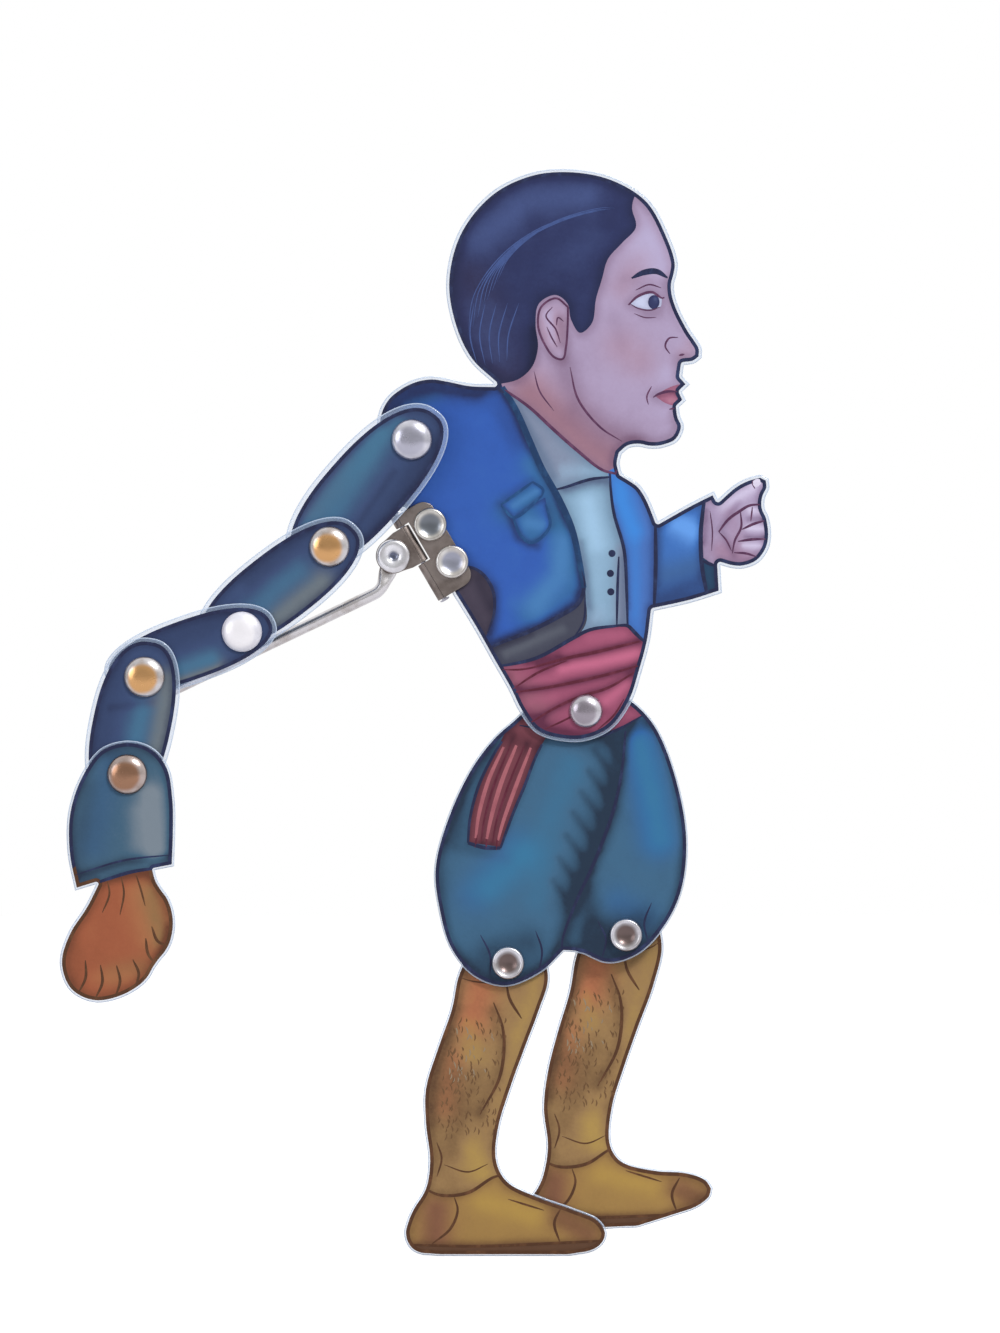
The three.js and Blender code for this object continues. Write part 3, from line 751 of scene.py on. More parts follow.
NECKLINE = [(-20, 80, 1), (-14.25, 76), (-8, 70.25), (-1.75, 64.75), (4, 60.3), (7.5, 59.3, 1)]
LAPEL = [(-20.9, 81), (-17.6, 75.5), (-14, 67.3), (-11, 60.5), (-6.8, 53), (-3.5, 45.5), (-1.6, 37.3),
         (-0.5, 30.8)]
JACKET_HEM = [(-2, 26.8), (-6.5, 23.8), (-14, 20), (-22.8, 16.4)]
SASH_TOP = [(-23, 11), (-12.5, 13.2), (-3.6, 18), (1, 20.3), (8.4, 21.4)]
CREASE = [(10.6, 2), (9.4, -8.2), (8.2, -15.5), (6.2, -24.8), (3.2, -33.1), (0.2, -40.3), (-3, -47.6),
          (-6.6, -60)]

SKIN = paint("face_paint", "skin_paint", (0.69, 0.62, 0.74), (0.47, 0.35, 0.45), (0.78, 0.76, 0.9),
             (0.68, 0.51, 0.56))
LIPS = paint("lip_paint", "skin_paint", (0.66, 0.42, 0.52), (0.45, 0.26, 0.36), (0.76, 0.55, 0.62))
HAIR = paint("hair_paint", "hair_paint", (0.17, 0.2, 0.36), (0.09, 0.1, 0.2), (0.27, 0.33, 0.52),
             (0.2, 0.16, 0.24), mottle=0.5)
JACKET = paint("jacket_paint", "jacket_paint", (0.2, 0.37, 0.7), (0.14, 0.19, 0.36), (0.28, 0.5, 0.72),
               (0.2, 0.41, 0.6))
FAR_FRONT = paint("far_front_paint", "jacket_paint", (0.26, 0.46, 0.76), (0.2, 0.28, 0.5), (0.25, 0.54, 0.86),
                  (0.3, 0.45, 0.72))
SLEEVE = paint("far_sleeve_paint", "jacket_paint", (0.25, 0.45, 0.74), (0.18, 0.28, 0.48), (0.4, 0.63, 0.92),
               (0.25, 0.4, 0.6))
LINING = paint("sleeve_lining_paint", "jacket_paint", (0.15, 0.28, 0.4), (0.1, 0.16, 0.26), (0.2, 0.36, 0.5))
SHIRT = paint("shirt_paint", "shirt_paint", (0.52, 0.65, 0.75), (0.36, 0.43, 0.54), (0.66, 0.81, 0.92),
              (0.52, 0.54, 0.63))
UNDERARM = paint("underarm_paint", "jacket_paint", (0.28, 0.25, 0.31), (0.17, 0.15, 0.22), (0.36, 0.31, 0.34))
HEM = paint("hem_paint", "jacket_paint", (0.27, 0.28, 0.34), (0.18, 0.18, 0.25), (0.4, 0.42, 0.46),
            (0.3, 0.3, 0.36))
SASH = paint("sash_paint", "sash_paint", (0.62, 0.32, 0.43), (0.38, 0.17, 0.27), (0.78, 0.42, 0.54),
             (0.58, 0.37, 0.43))
FIST = paint("fist_paint", "skin_paint", (0.69, 0.62, 0.74), (0.4, 0.29, 0.42), (0.86, 0.82, 0.92),
             (0.62, 0.46, 0.56))
EYE_WHITE = paint("eye_paint", "skin_paint", (0.8, 0.82, 0.92), (0.6, 0.6, 0.72), (0.88, 0.9, 0.97))
IRIS = paint("iris_paint", "hair_paint", (0.2, 0.22, 0.38), (0.1, 0.1, 0.2), (0.3, 0.34, 0.5))
BREECHES = paint("breeches_paint", "breeches_paint", (0.25, 0.41, 0.53), (0.13, 0.2, 0.28), (0.22, 0.48, 0.63),
                 (0.18, 0.4, 0.64))
SASH_END = paint("sash_end_paint", "sash_paint", (0.47, 0.25, 0.29), (0.28, 0.13, 0.18), (0.6, 0.33, 0.37))
STOCKING = paint("stocking_paint", "stocking_paint", (0.62, 0.49, 0.32), (0.38, 0.27, 0.18), (0.72, 0.59, 0.32),
                 (0.7, 0.44, 0.3), mottle=0.8)
SHOE = paint("shoe_paint", "shoe_paint", (0.65, 0.51, 0.29), (0.42, 0.29, 0.19), (0.74, 0.6, 0.3),
             (0.56, 0.38, 0.28), mottle=0.5)
SOLE = paint("sole_paint", "shoe_paint", (0.4, 0.28, 0.2), (0.28, 0.18, 0.13), (0.5, 0.36, 0.25))
ARM = paint("arm_paint", "jacket_paint", (0.23, 0.3, 0.45), (0.13, 0.16, 0.28), (0.27, 0.45, 0.57),
            (0.42, 0.46, 0.49))
CUFF = paint("cuff_paint", "jacket_paint", (0.26, 0.39, 0.48), (0.14, 0.2, 0.28), (0.49, 0.54, 0.58),
             (0.23, 0.37, 0.5))
HAND = paint("hand_paint", "skin_paint", (0.64, 0.36, 0.24), (0.42, 0.24, 0.16), (0.72, 0.46, 0.3),
             (0.58, 0.44, 0.28), mottle=0.5)

HAIRLINE = [(13, 131, 1), (11.5, 126), (12.5, 121), (9, 117), (5.5, 113), (4, 108), (2.5, 103), (1.5, 97),
            (-1.5, 94.5), (-3.8, 98), (-4.6, 101.8), (-7.6, 104), (-11.8, 101.8), (-12.6, 96.6), (-12, 91),
            (-13.5, 86), (-17, 82.9), (-22.2, 81.6, 1), (-60, 92, 1), (-60, 140, 1), (13, 140, 1)]
EAR = [(-4.5, 101), (-7.5, 103.2), (-11.2, 101), (-12, 96.5), (-10.5, 92), (-8, 88.5), (-5.8, 88), (-5, 91),
       (-4.6, 96)]
EYE = [(19, 103.2, 1), (16.5, 104.6), (13, 103.6), (11, 101.8, 1), (13, 100.8), (16, 100.2), (18.6, 101)]

TORSO_AREAS = [
    Area("face", oblong(-60, 55, 60, 140), SKIN,
         shade=[([(-5, 86), (-2, 76), (5, 70), (12, 67.5)], 5, -0.5), ([(24, 99), (27, 92)], 4, 0.5),
                ([(16, 118), (19, 112)], 8, 0.45), ([(21, 84), (21, 76)], 4, 0.3),
                ([(-16, 82), (6, 63)], 4, -0.35), ([(10, 108), (20, 107)], 3, -0.25),
                ([(7, 98), (9, 92)], 3, -0.15), ([(15, 98.5), (19, 98.8)], 1.8, -0.2)],
         tint=[([(9, 91), (13, 88)], 7, 0.4), ([(-14, 79), (0, 66), (7, 62)], 9, 1.0),
               ([(14, 113), (9, 106)], 5, 0.3), ([(24.5, 89), (26, 91)], 3, 0.35)]),
    Area("shirt", [*NECKLINE, (9, 61, 1), (14, 60), (22, 48, 1), (22, 8, 1), (-60, 8, 1), (-60, 83, 1)], SHIRT,
         shade=[([(0.5, 52), (2.5, 42)], 4.5, 0.8), ([(-5, 56), (1, 57.6), (6, 58)], 2.6, -0.75),
                ([(9.6, 38), (9.2, 22)], 2, -0.4), ([(3, 36), (3, 24)], 4, 0.3),
                ([(-1, 42), (1, 26)], 1.6, -0.5)],
         tint=[([(9.8, 40), (9.4, 22)], 3, 1.0), ([(3, 24), (1, 21)], 3, 0.3)]),
    Area("collar",
         [*NECKLINE, (5.75, 58.5), (1, 57.9), (-5, 56), (-7.3, 55.6, 1), (-11, 60.5), (-14, 67.3),
          (-17.6, 75.5)], SHIRT,
         shade=[([(-6, 60), (3, 59.4)], 3, 0.3), ([(-19, 78), (-13, 68), (-8, 59)], 2, -0.5)],
         tint=[([(-16, 76), (-6, 62)], 9, 0.8)]),
    Area("far_front",
         [(5.5, 60, 1), (10.5, 62.4, 1), (14.5, 56), (19, 49, 1), (18.6, 38), (18.4, 25), (18, 15, 1),
          (14.4, 16.5), (10.4, 21.5, 1), (10.1, 29), (9.4, 40.3), (6.8, 49.3), (6, 55.3)], FAR_FRONT,
         shade=[([(8.4, 59), (9, 52), (12, 45)], 3.6, 1.0), ([(12.5, 42), (12.4, 24)], 2, 0.35),
                ([(17.2, 47), (16.7, 26)], 2.2, -0.5), ([(7, 51), (9.8, 38), (10.6, 26)], 1.4, -0.5)],
         tint=[([(15, 50), (15, 24)], 3.6, 0.6)], border=(1.4, -0.4)),
    Area("jacket",
         [(*LAPEL[0], 1), *LAPEL[1:], *JACKET_HEM, (-30, 13, 1), (-60, 30, 1), (-60, 90, 1), (-24, 90, 1)],
         JACKET,
         shade=[([(-5.6, 42), (-6.6, 34), (-12, 27)], 4.5, 0.95), ([(-13, 62), (-9.5, 55)], 4, 0.35),
                ([(-51, 71), (-47, 79), (-38, 81.5), (-28, 80.3)], 4.6, -1.1), (LAPEL, 2.2, -0.85),
                ([(-22, 76), (-17, 67)], 4, -0.3), ([(-1.4, 29), *JACKET_HEM], 2.4, -0.8),
                ([(-24, 30), (-24.5, 20)], 3, -0.7), ([(-44, 50), (-32, 34)], 3, -0.4),
                ([(-19.5, 50), (-17, 43), (-12, 41)], 1.6, -0.45), ([(-18, 27), (-12, 23)], 3, 0.2)],
         tint=[([(-12.5, 62), (-6, 47), (-4, 36)], 5.5, 0.9), ([(-20, 50), (-11, 47)], 5, 0.7),
               ([(-14, 24), (-4, 30)], 5, 0.7), ([(-50, 74), (-38, 80)], 4, 0.6)]),
    Area("underarm",
         [(-38, 31, 1), (-30, 36), (-26.2, 34.6), (-23.4, 30.5), (-22.9, 25), (-24.6, 19.5), (-27, 15.5, 1),
          (-40, 20, 1)], UNDERARM,
         shade=[([(-33, 31), (-28, 22)], 2, 0.5), ([(-27, 33), (-24, 26)], 2, -0.6)], border=(1.6, -0.5)),
    Area("hem",
         [(-30, 14, 1), (-22.8, 16.4), (-14, 20), (-6.5, 23.8), (-2, 26.8), (-0.5, 30.8, 1), (0, 22),
          (-3.6, 17.5), (-12, 12.8), (-23, 11), (-32, 10, 1)], HEM,
         shade=[([(-20, 14.4), (-6, 20.4)], 1.8, 0.5), ([(-23, 15.8), (-14, 19.2)], 1.4, -0.6)],
         border=(1.2, -0.4)),
    Area("far_sleeve",
         [(17.6, 62, 1), (31, 62, 1), (29.9, 53.8), (29, 49), (28.6, 44.5), (28.9, 36), (30.2, 29.6),
          (30.8, 22, 1), (17, 20, 1), (17.2, 38)], SLEEVE,
         shade=[([(23, 47), (26.6, 45)], 4.4, 1.1), ([(18, 28), (29, 32)], 4.5, -0.9),
                ([(18, 46), (17.6, 32)], 2, -0.7), ([(28.8, 52), (28, 44), (28.4, 34)], 1.5, -0.3)],
         tint=[([(20, 34), (27, 36)], 5, 0.8)], border=(1.3, -0.4)),
    Area("sleeve_lining",
         [(28.6, 40, 1), (28.9, 36), (30.2, 29.6), (30.8, 24, 1), (38, 24, 1), (36, 36.8, 1), (33.4, 36.6)],
         LINING, border=(1.2, -0.5)),
    Area("fist",
         [(29.9, 62, 1), (60, 70, 1), (60, 30, 1), (37, 30, 1), (34.2, 36, 1), (32, 36.6), (29.2, 38.4, 1),
          (28.6, 44.5), (29, 49), (29.9, 53.8)], FIST,
         shade=[([(34, 51.6), (41, 55.4)], 2.2, 0.8), ([(31, 48), (31, 40)], 2, -0.2),
                ([(42, 57), (44, 58)], 1.6, 1.0), ([(41, 50.2), (45, 50)], 1.3, 0.9),
                ([(40.6, 45.8), (45, 45.6)], 1.2, 0.9), ([(39.6, 41.4), (43.6, 41.2)], 1.2, 0.8),
                ([(40.6, 48), (45, 47.8)], 0.8, -0.6), ([(40, 43.6), (44.6, 43.4)], 0.8, -0.6),
                ([(38, 52), (33.6, 45.4), (37, 39)], 1.4, -0.45), ([(30, 50), (29.4, 42)], 1.2, -0.5)],
         tint=[([(34, 40), (42, 37)], 4, 0.7), ([(36, 49), (38, 43)], 3, 0.3)], border=(1.1, -0.35)),
    Area("sash",
         [(-32, 10, 1), *SASH_TOP, (10.4, 21.4, 1), (12.4, 19.4), (14.4, 17.6), (20, 16, 1), (20, -12, 1),
          (-32, -12, 1)], SASH,
         shade=[([(1, 18.4), (9, 19.2)], 2.4, 0.3), ([(-11.7, 11.6), (1, 14.4), (13, 17.4)], 1.5, -1.0),
                ([(-6, 10.6), (2, 11.9), (13, 14.4)], 2.2, 1.0),
                ([(-19, 4.8), (-9.5, 5.9), (4, 8.8), (13, 11.4)], 1.5, -0.95),
                ([(-17, 7.6), (-8, 8)], 2.2, 0.25),
                ([(-13, -2.4), (-8, 0.6), (-2, 3.4), (5.5, 5.8), (11.6, 9.4)], 1.5, -0.85),
                ([(5, 2.6), (10, 6.6)], 2.4, 0.75), ([(-16, 1.6), (-8, 3.6)], 1.8, 0.2),
                ([(-13, -2.5), (-8, -5), (0, -6.6)], 3.2, -0.85), ([(-14.6, 12), (-7, 13.8)], 2, -0.6),
                ([(-5, 12.2), (-12, 9.6), (-18.6, 5)], 1.3, -0.5), ([(1, -2), (5, 0)], 1.8, -0.3)],
         tint=[([(-20, 9), (-12, 0)], 6, 0.6)], border=(1.6, -0.4)),
    Area("pocket",
         [(-18.4, 48.8, 1), (-16.4, 44, 1), (-14, 42.1), (-11.6, 43, 1), (-8.9, 46.4, 1), (-10.2, 53.4, 1)],
         JACKET,
         shade=[([(-14.4, 47), (-11.4, 46.4)], 2.6, 0.9)],
         tint=[([(-15, 50), (-13, 44)], 6, 0.9)], border=(1.1, -0.7)),
    Area("pocket_flap", [(-21.4, 51.6, 1), (-13.3, 57.4, 1), (-10.6, 55.3, 1), (-11, 53.8, 1), (-18, 48.3, 1)],
         JACKET,
         shade=[([(-18, 51.4), (-12.4, 55)], 1.3, 0.8)],
         tint=[([(-15, 53), (-14, 53)], 8, 0.9)], border=(0.9, -0.6)),
    Area("hair", HAIRLINE, HAIR,
         shade=[([(-26, 118), (-14, 128), (0, 129)], 6, 0.8), ([(-26, 100), (-22, 90)], 6, 0.35),
                ([(-6, 112), (2, 118)], 5, 0.25), ([(-14, 84), (-13, 95)], 3, -0.4)],
         tint=[([(-28, 108), (-20, 84)], 8, 0.4)]),
    Area("ear", EAR, SKIN,
         shade=[([(-9.5, 99), (-8, 93)], 2.2, 0.45), ([(-6.5, 98), (-6.5, 92)], 1.8, -0.5)],
         tint=[([(-8, 96), (-8, 95)], 7, 0.5)], border=(1.2, -0.5)),
    Area("eye_white", EYE, EYE_WHITE, border=(0.9, -0.5)),
    Area("iris",
         [(18.4, 102.2), (17.9, 103.6), (16.9, 104), (15.9, 103.4), (15.5, 102.2), (15.9, 101), (16.9, 100.4),
          (17.9, 100.9)], IRIS,
         shade=[([(17.4, 103), (17.5, 103)], 0.8, 0.9)], border=(0.5, -0.3)),
    Area("lips",
         [(30, 82, 1), (23, 81.6), (20.2, 80.6), (17.2, 78.8, 1), (20, 76.9), (23, 76.2), (30, 75.6, 1)], LIPS,
         shade=[([(21, 77.6), (23.6, 77.2)], 1, 0.6), ([(18, 79), (24, 79.7)], 0.7, -0.8)], border=(0.7, -0.3)),
]

# Strokes: a path, the width of the brush, and how much it thins towards its ends
TORSO_NAVY_LINES = [
    ([*LAPEL[-2:], *JACKET_HEM, (-27.4, 14)], 1.1, 0.5), ([(-27, 80.8), (-22.6, 80.9), (-20.4, 79.6)], 1.1),
    ([(-3.6, 17.5), (-0.6, 22.5), (-0.2, 30)], 0.5), ([(-28, 10.4), *SASH_TOP], 0.95, 0.4),
    ([(8.4, 21.4), (10.4, 21.3), (12.4, 19.4), (14.4, 17.6), (16.6, 16.6)], 0.95, 0.4),
    ([(6, 59.4), (6.2, 55.3), (7, 49.3), (9.5, 40.3), (10.2, 29), (10.4, 21.6)], 0.85, 0.5),
    ([(10.4, 61.6), (14.4, 55.6), (16.9, 49.6), (17.4, 40), (17.3, 32), (16.8, 22)], 1.0, 0.4),
    ([(29.8, 54.4), (29.1, 49), (28.7, 44.5), (29, 36), (30.3, 29)], 1.1, 0.3),
    ([(29.1, 37.6), (32, 36.4), (34.4, 36)], 0.9), ([(8.2, 38.6), (7.9, 31), (7.7, 21.6)], 0.7, 0.6),
    ([(5.75, 58.5), (1, 57.9), (-5, 56), (-7.3, 55.4)], 0.8, 0.5), ([(7.4, 59.2), (9, 61.4)], 0.7),
    ([(-38, 31.4), (-30, 36), (-26.2, 34.6), (-23.4, 30.5), (-22.9, 25), (-24.6, 19.5)], 0.8, 0.7),
]
POCKET_LINES = [
    ([(-21.2, 51.6), (-13.3, 57.3)], 0.75, 0.5), ([(-13.3, 57.3), (-10.7, 55.3), (-11, 53.8)], 0.7, 0.5),
    ([(-21.2, 51.4), (-18, 48.4), (-11, 53.8)], 0.8, 0.5),
    ([(-18.3, 48.6), (-16.4, 44), (-14, 42.1), (-11.6, 43), (-9, 46.4), (-10, 51.6)], 0.85, 0.5),
]
TORSO_PLUM_LINES = [
    ([(-20.5, 80.4), *NECKLINE[1:-1], (7.5, 59.3)], 0.85, 0.4), ([(8.4, 63.6), (7.8, 61.4), (7.5, 59.3)], 0.6),
    (EAR + EAR[:1], 0.55, 0.1), ([(-6.4, 92), (-7.6, 95.5), (-10, 98.8), (-8.4, 101)], 0.45),
    ([(-7.2, 91), (-8.6, 93.4), (-9.8, 96)], 0.4), ([(-5.6, 97.4), (-7, 98.4), (-7.4, 96.4)], 0.4),
    ([(19.6, 103.4), (19, 103.2), (16.5, 104.7), (13, 103.7), (10.6, 101.5)], 0.7, 0.6),
    ([(18.6, 101), (16, 100.2), (13, 100.7), (11, 101.8)], 0.4),
    ([(18.8, 105.8), (15.8, 106.6), (12.4, 105.2)], 0.4), ([(17.6, 98.4), (14.6, 98.4), (12, 99.4)], 0.3),
    ([(21, 89.3), (19.8, 91.2), (20.8, 93.2), (23, 93.4)], 0.5), ([(23.2, 88.9), (24.6, 89.2)], 0.6),
    ([(23.3, 79.8), (20.5, 79.9), (18, 79.2), (16.8, 78.4)], 0.7), ([(22.6, 75.8), (20.8, 75.4)], 0.45),
    ([(16.4, 81.2), (15.2, 78.6), (15.6, 76.6)], 0.4), ([(-4, 86), (-2, 78), (3.5, 71), (9, 67.4)], 0.6, 0.9),
    ([(-13, 85), (-11.6, 80), (-8, 75)], 0.4, 1),
    ([(45.4, 51.6), (41, 51.4), (38.5, 50), (35.5, 47.8), (33.2, 44.8)], 0.75, 0.6),
    ([(42.2, 55.6), (41.6, 57.4), (43.4, 58.8)], 0.4), ([(45.6, 47.8), (42, 46.8), (39, 45.4)], 0.7),
    ([(45.4, 43), (41.5, 42.9), (38, 42.4)], 0.7), ([(42.6, 38.6), (40, 39.4), (37, 39.6)], 0.6),
    ([(38.6, 50), (38.8, 46), (37.2, 42.6), (36.6, 39.4)], 0.6), ([(33.2, 44.8), (35, 42.8), (36.4, 40)], 0.45),
    ([(41.6, 51), (41.2, 47.4)], 0.4), ([(31, 50), (31.6, 45), (31.4, 40)], 0.35),
]
TORSO_MAROON_LINES = [
    ([(-12.4, 11.2), (-4, 13.4), (1, 14.4), (13.4, 17.4)], 0.85, 0.6),
    ([(-20, 4.4), (-9.5, 5.9), (4, 8.8), (13.4, 11.4)], 0.8, 0.6), ([(-4.8, 12.6), (-12, 9.6), (-19, 5)], 0.6),
    ([(-14, -3), (-8, 0.6), (-2, 3.4), (5.5, 5.8), (12, 9.6)], 0.75, 0.6),
    ([(-10.5, -4.6), (-6, -2.6), (-1, 0)], 0.5), ([(-22, 10.4), (-16, 10.4), (-10, 11.6)], 0.5),
    ([(3, -4.6), (7, -1), (9.5, 3)], 0.5),
]
HAIR_LINES = [
    ([(-29.5 + 1.2 * i, 94 + 2.2 * i), (-28 + 1.5 * i, 104 + 1.6 * i), (-21 + 2 * i, 114 + 1.3 * i),
      (-11 + 2.5 * i, 121 + 0.8 * i), (1.2 * i, 124.5 + 0.2 * i)], 0.3 + 0.08 * (i % 3), 1) for i in range(7)]
HAIR_LINES += [([(-27 + 1.8 * i, 86 + 0.4 * i), (-29 + 2.4 * i, 94), (-28 + 2.8 * i, 102)], 0.35, 1)
               for i in range(5)]

# Folds that run from the breeches' crease, as (across, up, reach, rise)
TEETH = [(9, -11, 4.6, 5.4), (7.9, -16.6, 5.2, 6), (6.7, -22, 5.6, 6.4), (5.2, -27.6, 5.8, 6.6),
         (3.4, -33, 6, 6.8), (1.4, -38.4, 5.8, 6.6), (-0.8, -43.6, 5.4, 6.2), (-3, -48.6, 4.8, 5.6)]
TOOTH_SHADE = [
    ([(x, up - 1.6), (x - 0.5 * reach, up + 0.4 * rise), (x - 1.1 * reach, up + 1.1 * rise)], 1.5, -0.42)
    for x, up, reach, rise in TEETH
]
BREECHES_AREAS = [
    Area("breeches", oblong(-60, -80, 40, 20), BREECHES,
         shade=[*TOOTH_SHADE, (CREASE, 3, -0.9), ([(x - 1.8, up) for x, up in CREASE[1:-1]], 4.6, -0.4),
                ([(x - 4.4, up) for x, up in CREASE[1:-1]], 4.6, -0.18), ([(-16, -36), (-24, -44)], 6, 0.8),
                ([(-4, -14), (-10, -30), (-12, -46)], 6, 0.35),
                ([(13, -8), (16.4, -20), (18.6, -32)], 4.6, 0.75),
                ([(-34, -62), (-20, -68), (0, -61), (14, -60)], 5, -0.65),
                ([(-14, -58), (-24, -60)], 5.4, -0.6), ([(2, -56), (14, -53)], 5.8, -0.8),
                ([(0, -45), (2, -56)], 4.2, -0.7), ([(-24, -8), (-32, -20), (-35, -32)], 3.8, -0.7),
                ([(-36, -36), (-36, -54)], 3, -0.3), ([(-30, -16), (-32, -34), (-20, -37)], 2.4, -0.35),
                ([(24, -18), (25.5, -30), (23.5, -46)], 2.2, -0.4),
                ([(-20, -4), (0, -8), (16, -3)], 3.2, -0.5)],
         tint=[([(13, -6), (18, -32)], 6.6, 1.0), ([(-18, -34), (-28, -46)], 7, 0.4),
               ([(8, -48), (14, -52)], 6, 0.4)], border=(1.6, -0.4)),
    Area("sash_under",
         [(-32, -2.5, 1), (-14, -4, 1), (2, -6.4), (8, -4.6), (14, -1.2), (20, 3, 1), (20, 12, 1),
          (-32, 12, 1)], SASH,
         shade=[([(10, 1), (16, 1)], 4, 0.3), ([(-18, -2), (-6, -5)], 3, -0.7)], border=(1.6, -0.6)),
    Area("sash_end",
         [(-17, 1, 1), (-8, -3.5, 1), (-10.8, -8), (-13, -12), (-15.5, -18.6), (-18.5, -25.8), (-21.4, -34, 1),
          (-29.4, -32.9, 1), (-28.8, -26.9), (-26.6, -18.6), (-22.9, -10.6), (-20, -5)], SASH_END,
         shade=[([(-18, -6), (-23.6, -20), (-26, -33)], 1.1, -0.5),
                ([(-14.6, -8), (-20, -22), (-23.4, -33)], 1.1, -0.5), ([(-22, -6), (-12, -9)], 3, -0.5)],
         border=(1.3, -0.7)),
]
SASH_END_STRIPES = [
    ([(-20.6, -9), (-24.4, -17.4), (-26.8, -26), (-27.6, -31.8)], 1.0, 0.5),
    ([(-17.4, -8.6), (-21.2, -18), (-23.8, -27), (-24.8, -32)], 1.1, 0.5),
    ([(-13.8, -9.2), (-17.6, -19), (-20.8, -28), (-22, -32.4)], 1.0, 0.5),
]
SASH_END_LINES = [
    ([(-18.8, -8.4), (-22.8, -18), (-25.4, -27), (-26.2, -32.6)], 0.55, 0.6),
    ([(-15.4, -8.6), (-19.4, -18.6), (-22.4, -27.6), (-23.4, -33)], 0.55, 0.6),
    ([(-27.2, -31), (-27.8, -34.2)], 0.4), ([(-24.8, -31.4), (-25, -34.6)], 0.4),
    ([(-22.2, -31.6), (-22.4, -34.8)], 0.4),
]
BREECHES_NAVY_LINES = [
    ([(9.9, -5), (8.9, -15.5), (6.9, -24.8), (4, -33.1), (1, -40.3), (-2.4, -47.6), (-5.8, -57), (-6, -60.6)],
     0.9, 0.6), ([(-21, -7.6), (-22.9, -10.6), (-26.8, -18.6), (-29, -26.9), (-29.5, -33)], 0.75, 0.3),
    ([(-29.5, -33), (-25.4, -34.2), (-21.4, -34.3)], 0.95, 0.2),
    ([(-21.4, -34.3), (-18.3, -25.8), (-15.3, -18.6), (-12.8, -12), (-11, -8.4)], 0.75, 0.3),
    ([(-24, -66), (-24, -61), (-26.4, -56)], 0.5), ([(-12, -66), (-11, -60), (-12.6, -55)], 0.5),
    ([(4, -62), (5, -57), (3, -52.6)], 0.5), ([(15.6, -58), (14.6, -53), (16.4, -48)], 0.5),
    ([(-16.6, -3.6), (2, -6.4), (8, -4.6), (14, -1.2), (17, 0.8)], 0.9),
]


# Knit strokes, in millimetres: how the patch leans with the leg, and the bounds of the strokes'
# lengths, leans and widths, with the bow of each
LEG_SLOPE = 0.12
STITCH_LENGTH = (0.8, 1.9)
STITCH_LEAN = (-0.5, 0.5)
STITCH_WIDTH = (0.25, 0.42)
STITCH_BOW = 0.2


def stitches(count, low, high, seed):
    """Short strokes scattered over a leaning patch, from its lower left to its upper right corner."""
    draws = random.Random(seed)
    strokes = []
    for _ in range(count):
        across, up = draws.uniform(low[0], high[0]), draws.uniform(low[1], high[1])
        across += LEG_SLOPE * (up - low[1])
        length, lean = draws.uniform(*STITCH_LENGTH), draws.uniform(*STITCH_LEAN)
        middle = (across + lean * length / 2 + STITCH_BOW, up - length / 2)
        path = [(across, up), middle, (across + lean * length, up - length)]
        strokes.append((path, draws.uniform(*STITCH_WIDTH), 1))
    return strokes


LEG_AREAS = [
    Area("leg", oblong(-60, -90, 40, 20), STOCKING,
         shade=[([(-13, -12), (-18, -28), (-19, -40)], 3.2, -0.45),
                ([(8, -4), (5, -14), (1, -26), (-2, -40)], 3.6, 0.6), ([(-10, 0), (8, 0)], 4, -0.3),
                ([(-9, -47), (-6, -53)], 5, 0.9), ([(-14, -30), (-12, -38), (-14, -46)], 5.5, -0.5),
                ([(-10, -15), (-9, -22)], 3.4, 0.4),
                ([(-3.4, -12), (-1.2, -21), (-2.4, -29), (-7, -38)], 2.2, -0.5),
                ([(-8, -28), (-8, -36)], 4, -0.25)],
         tint=[([(-6, -3), (-9, -14)], 7, 1.0), ([(-14, -24), (-16, -36)], 5, 0.6)]),
    Area("sole", [(-40, -60, 1), (40, -60, 1), (40, -90, 1), (-40, -90, 1)], SOLE, border=(0.8, -0.3)),
    Area("shoe",
         [(-40, -52.5, 1), (-24, -55.5), (-17, -58.2), (-10, -57.6), (-3, -53.5), (1.5, -53.4), (6, -52, 1),
          (40, -52, 1), (40, -69.6, 1), (22, -69.8), (8, -70.4), (-8, -71), (-24, -70.8), (-40, -70.6, 1)],
         SHOE,
         shade=[([(-6, -60), (6, -63)], 4.5, 0.7), ([(-24, -71.6), (20, -71.6)], 2.4, -0.6),
                ([(12, -64), (20, -67)], 3.4, -0.45), ([(-18, -62), (-20, -70)], 3.5, -0.3)],
         tint=[([(-18, -62), (-18, -70)], 6, 1.0), ([(14, -64), (20, -68)], 4.5, 0.8)], border=(1.8, -0.5)),
]
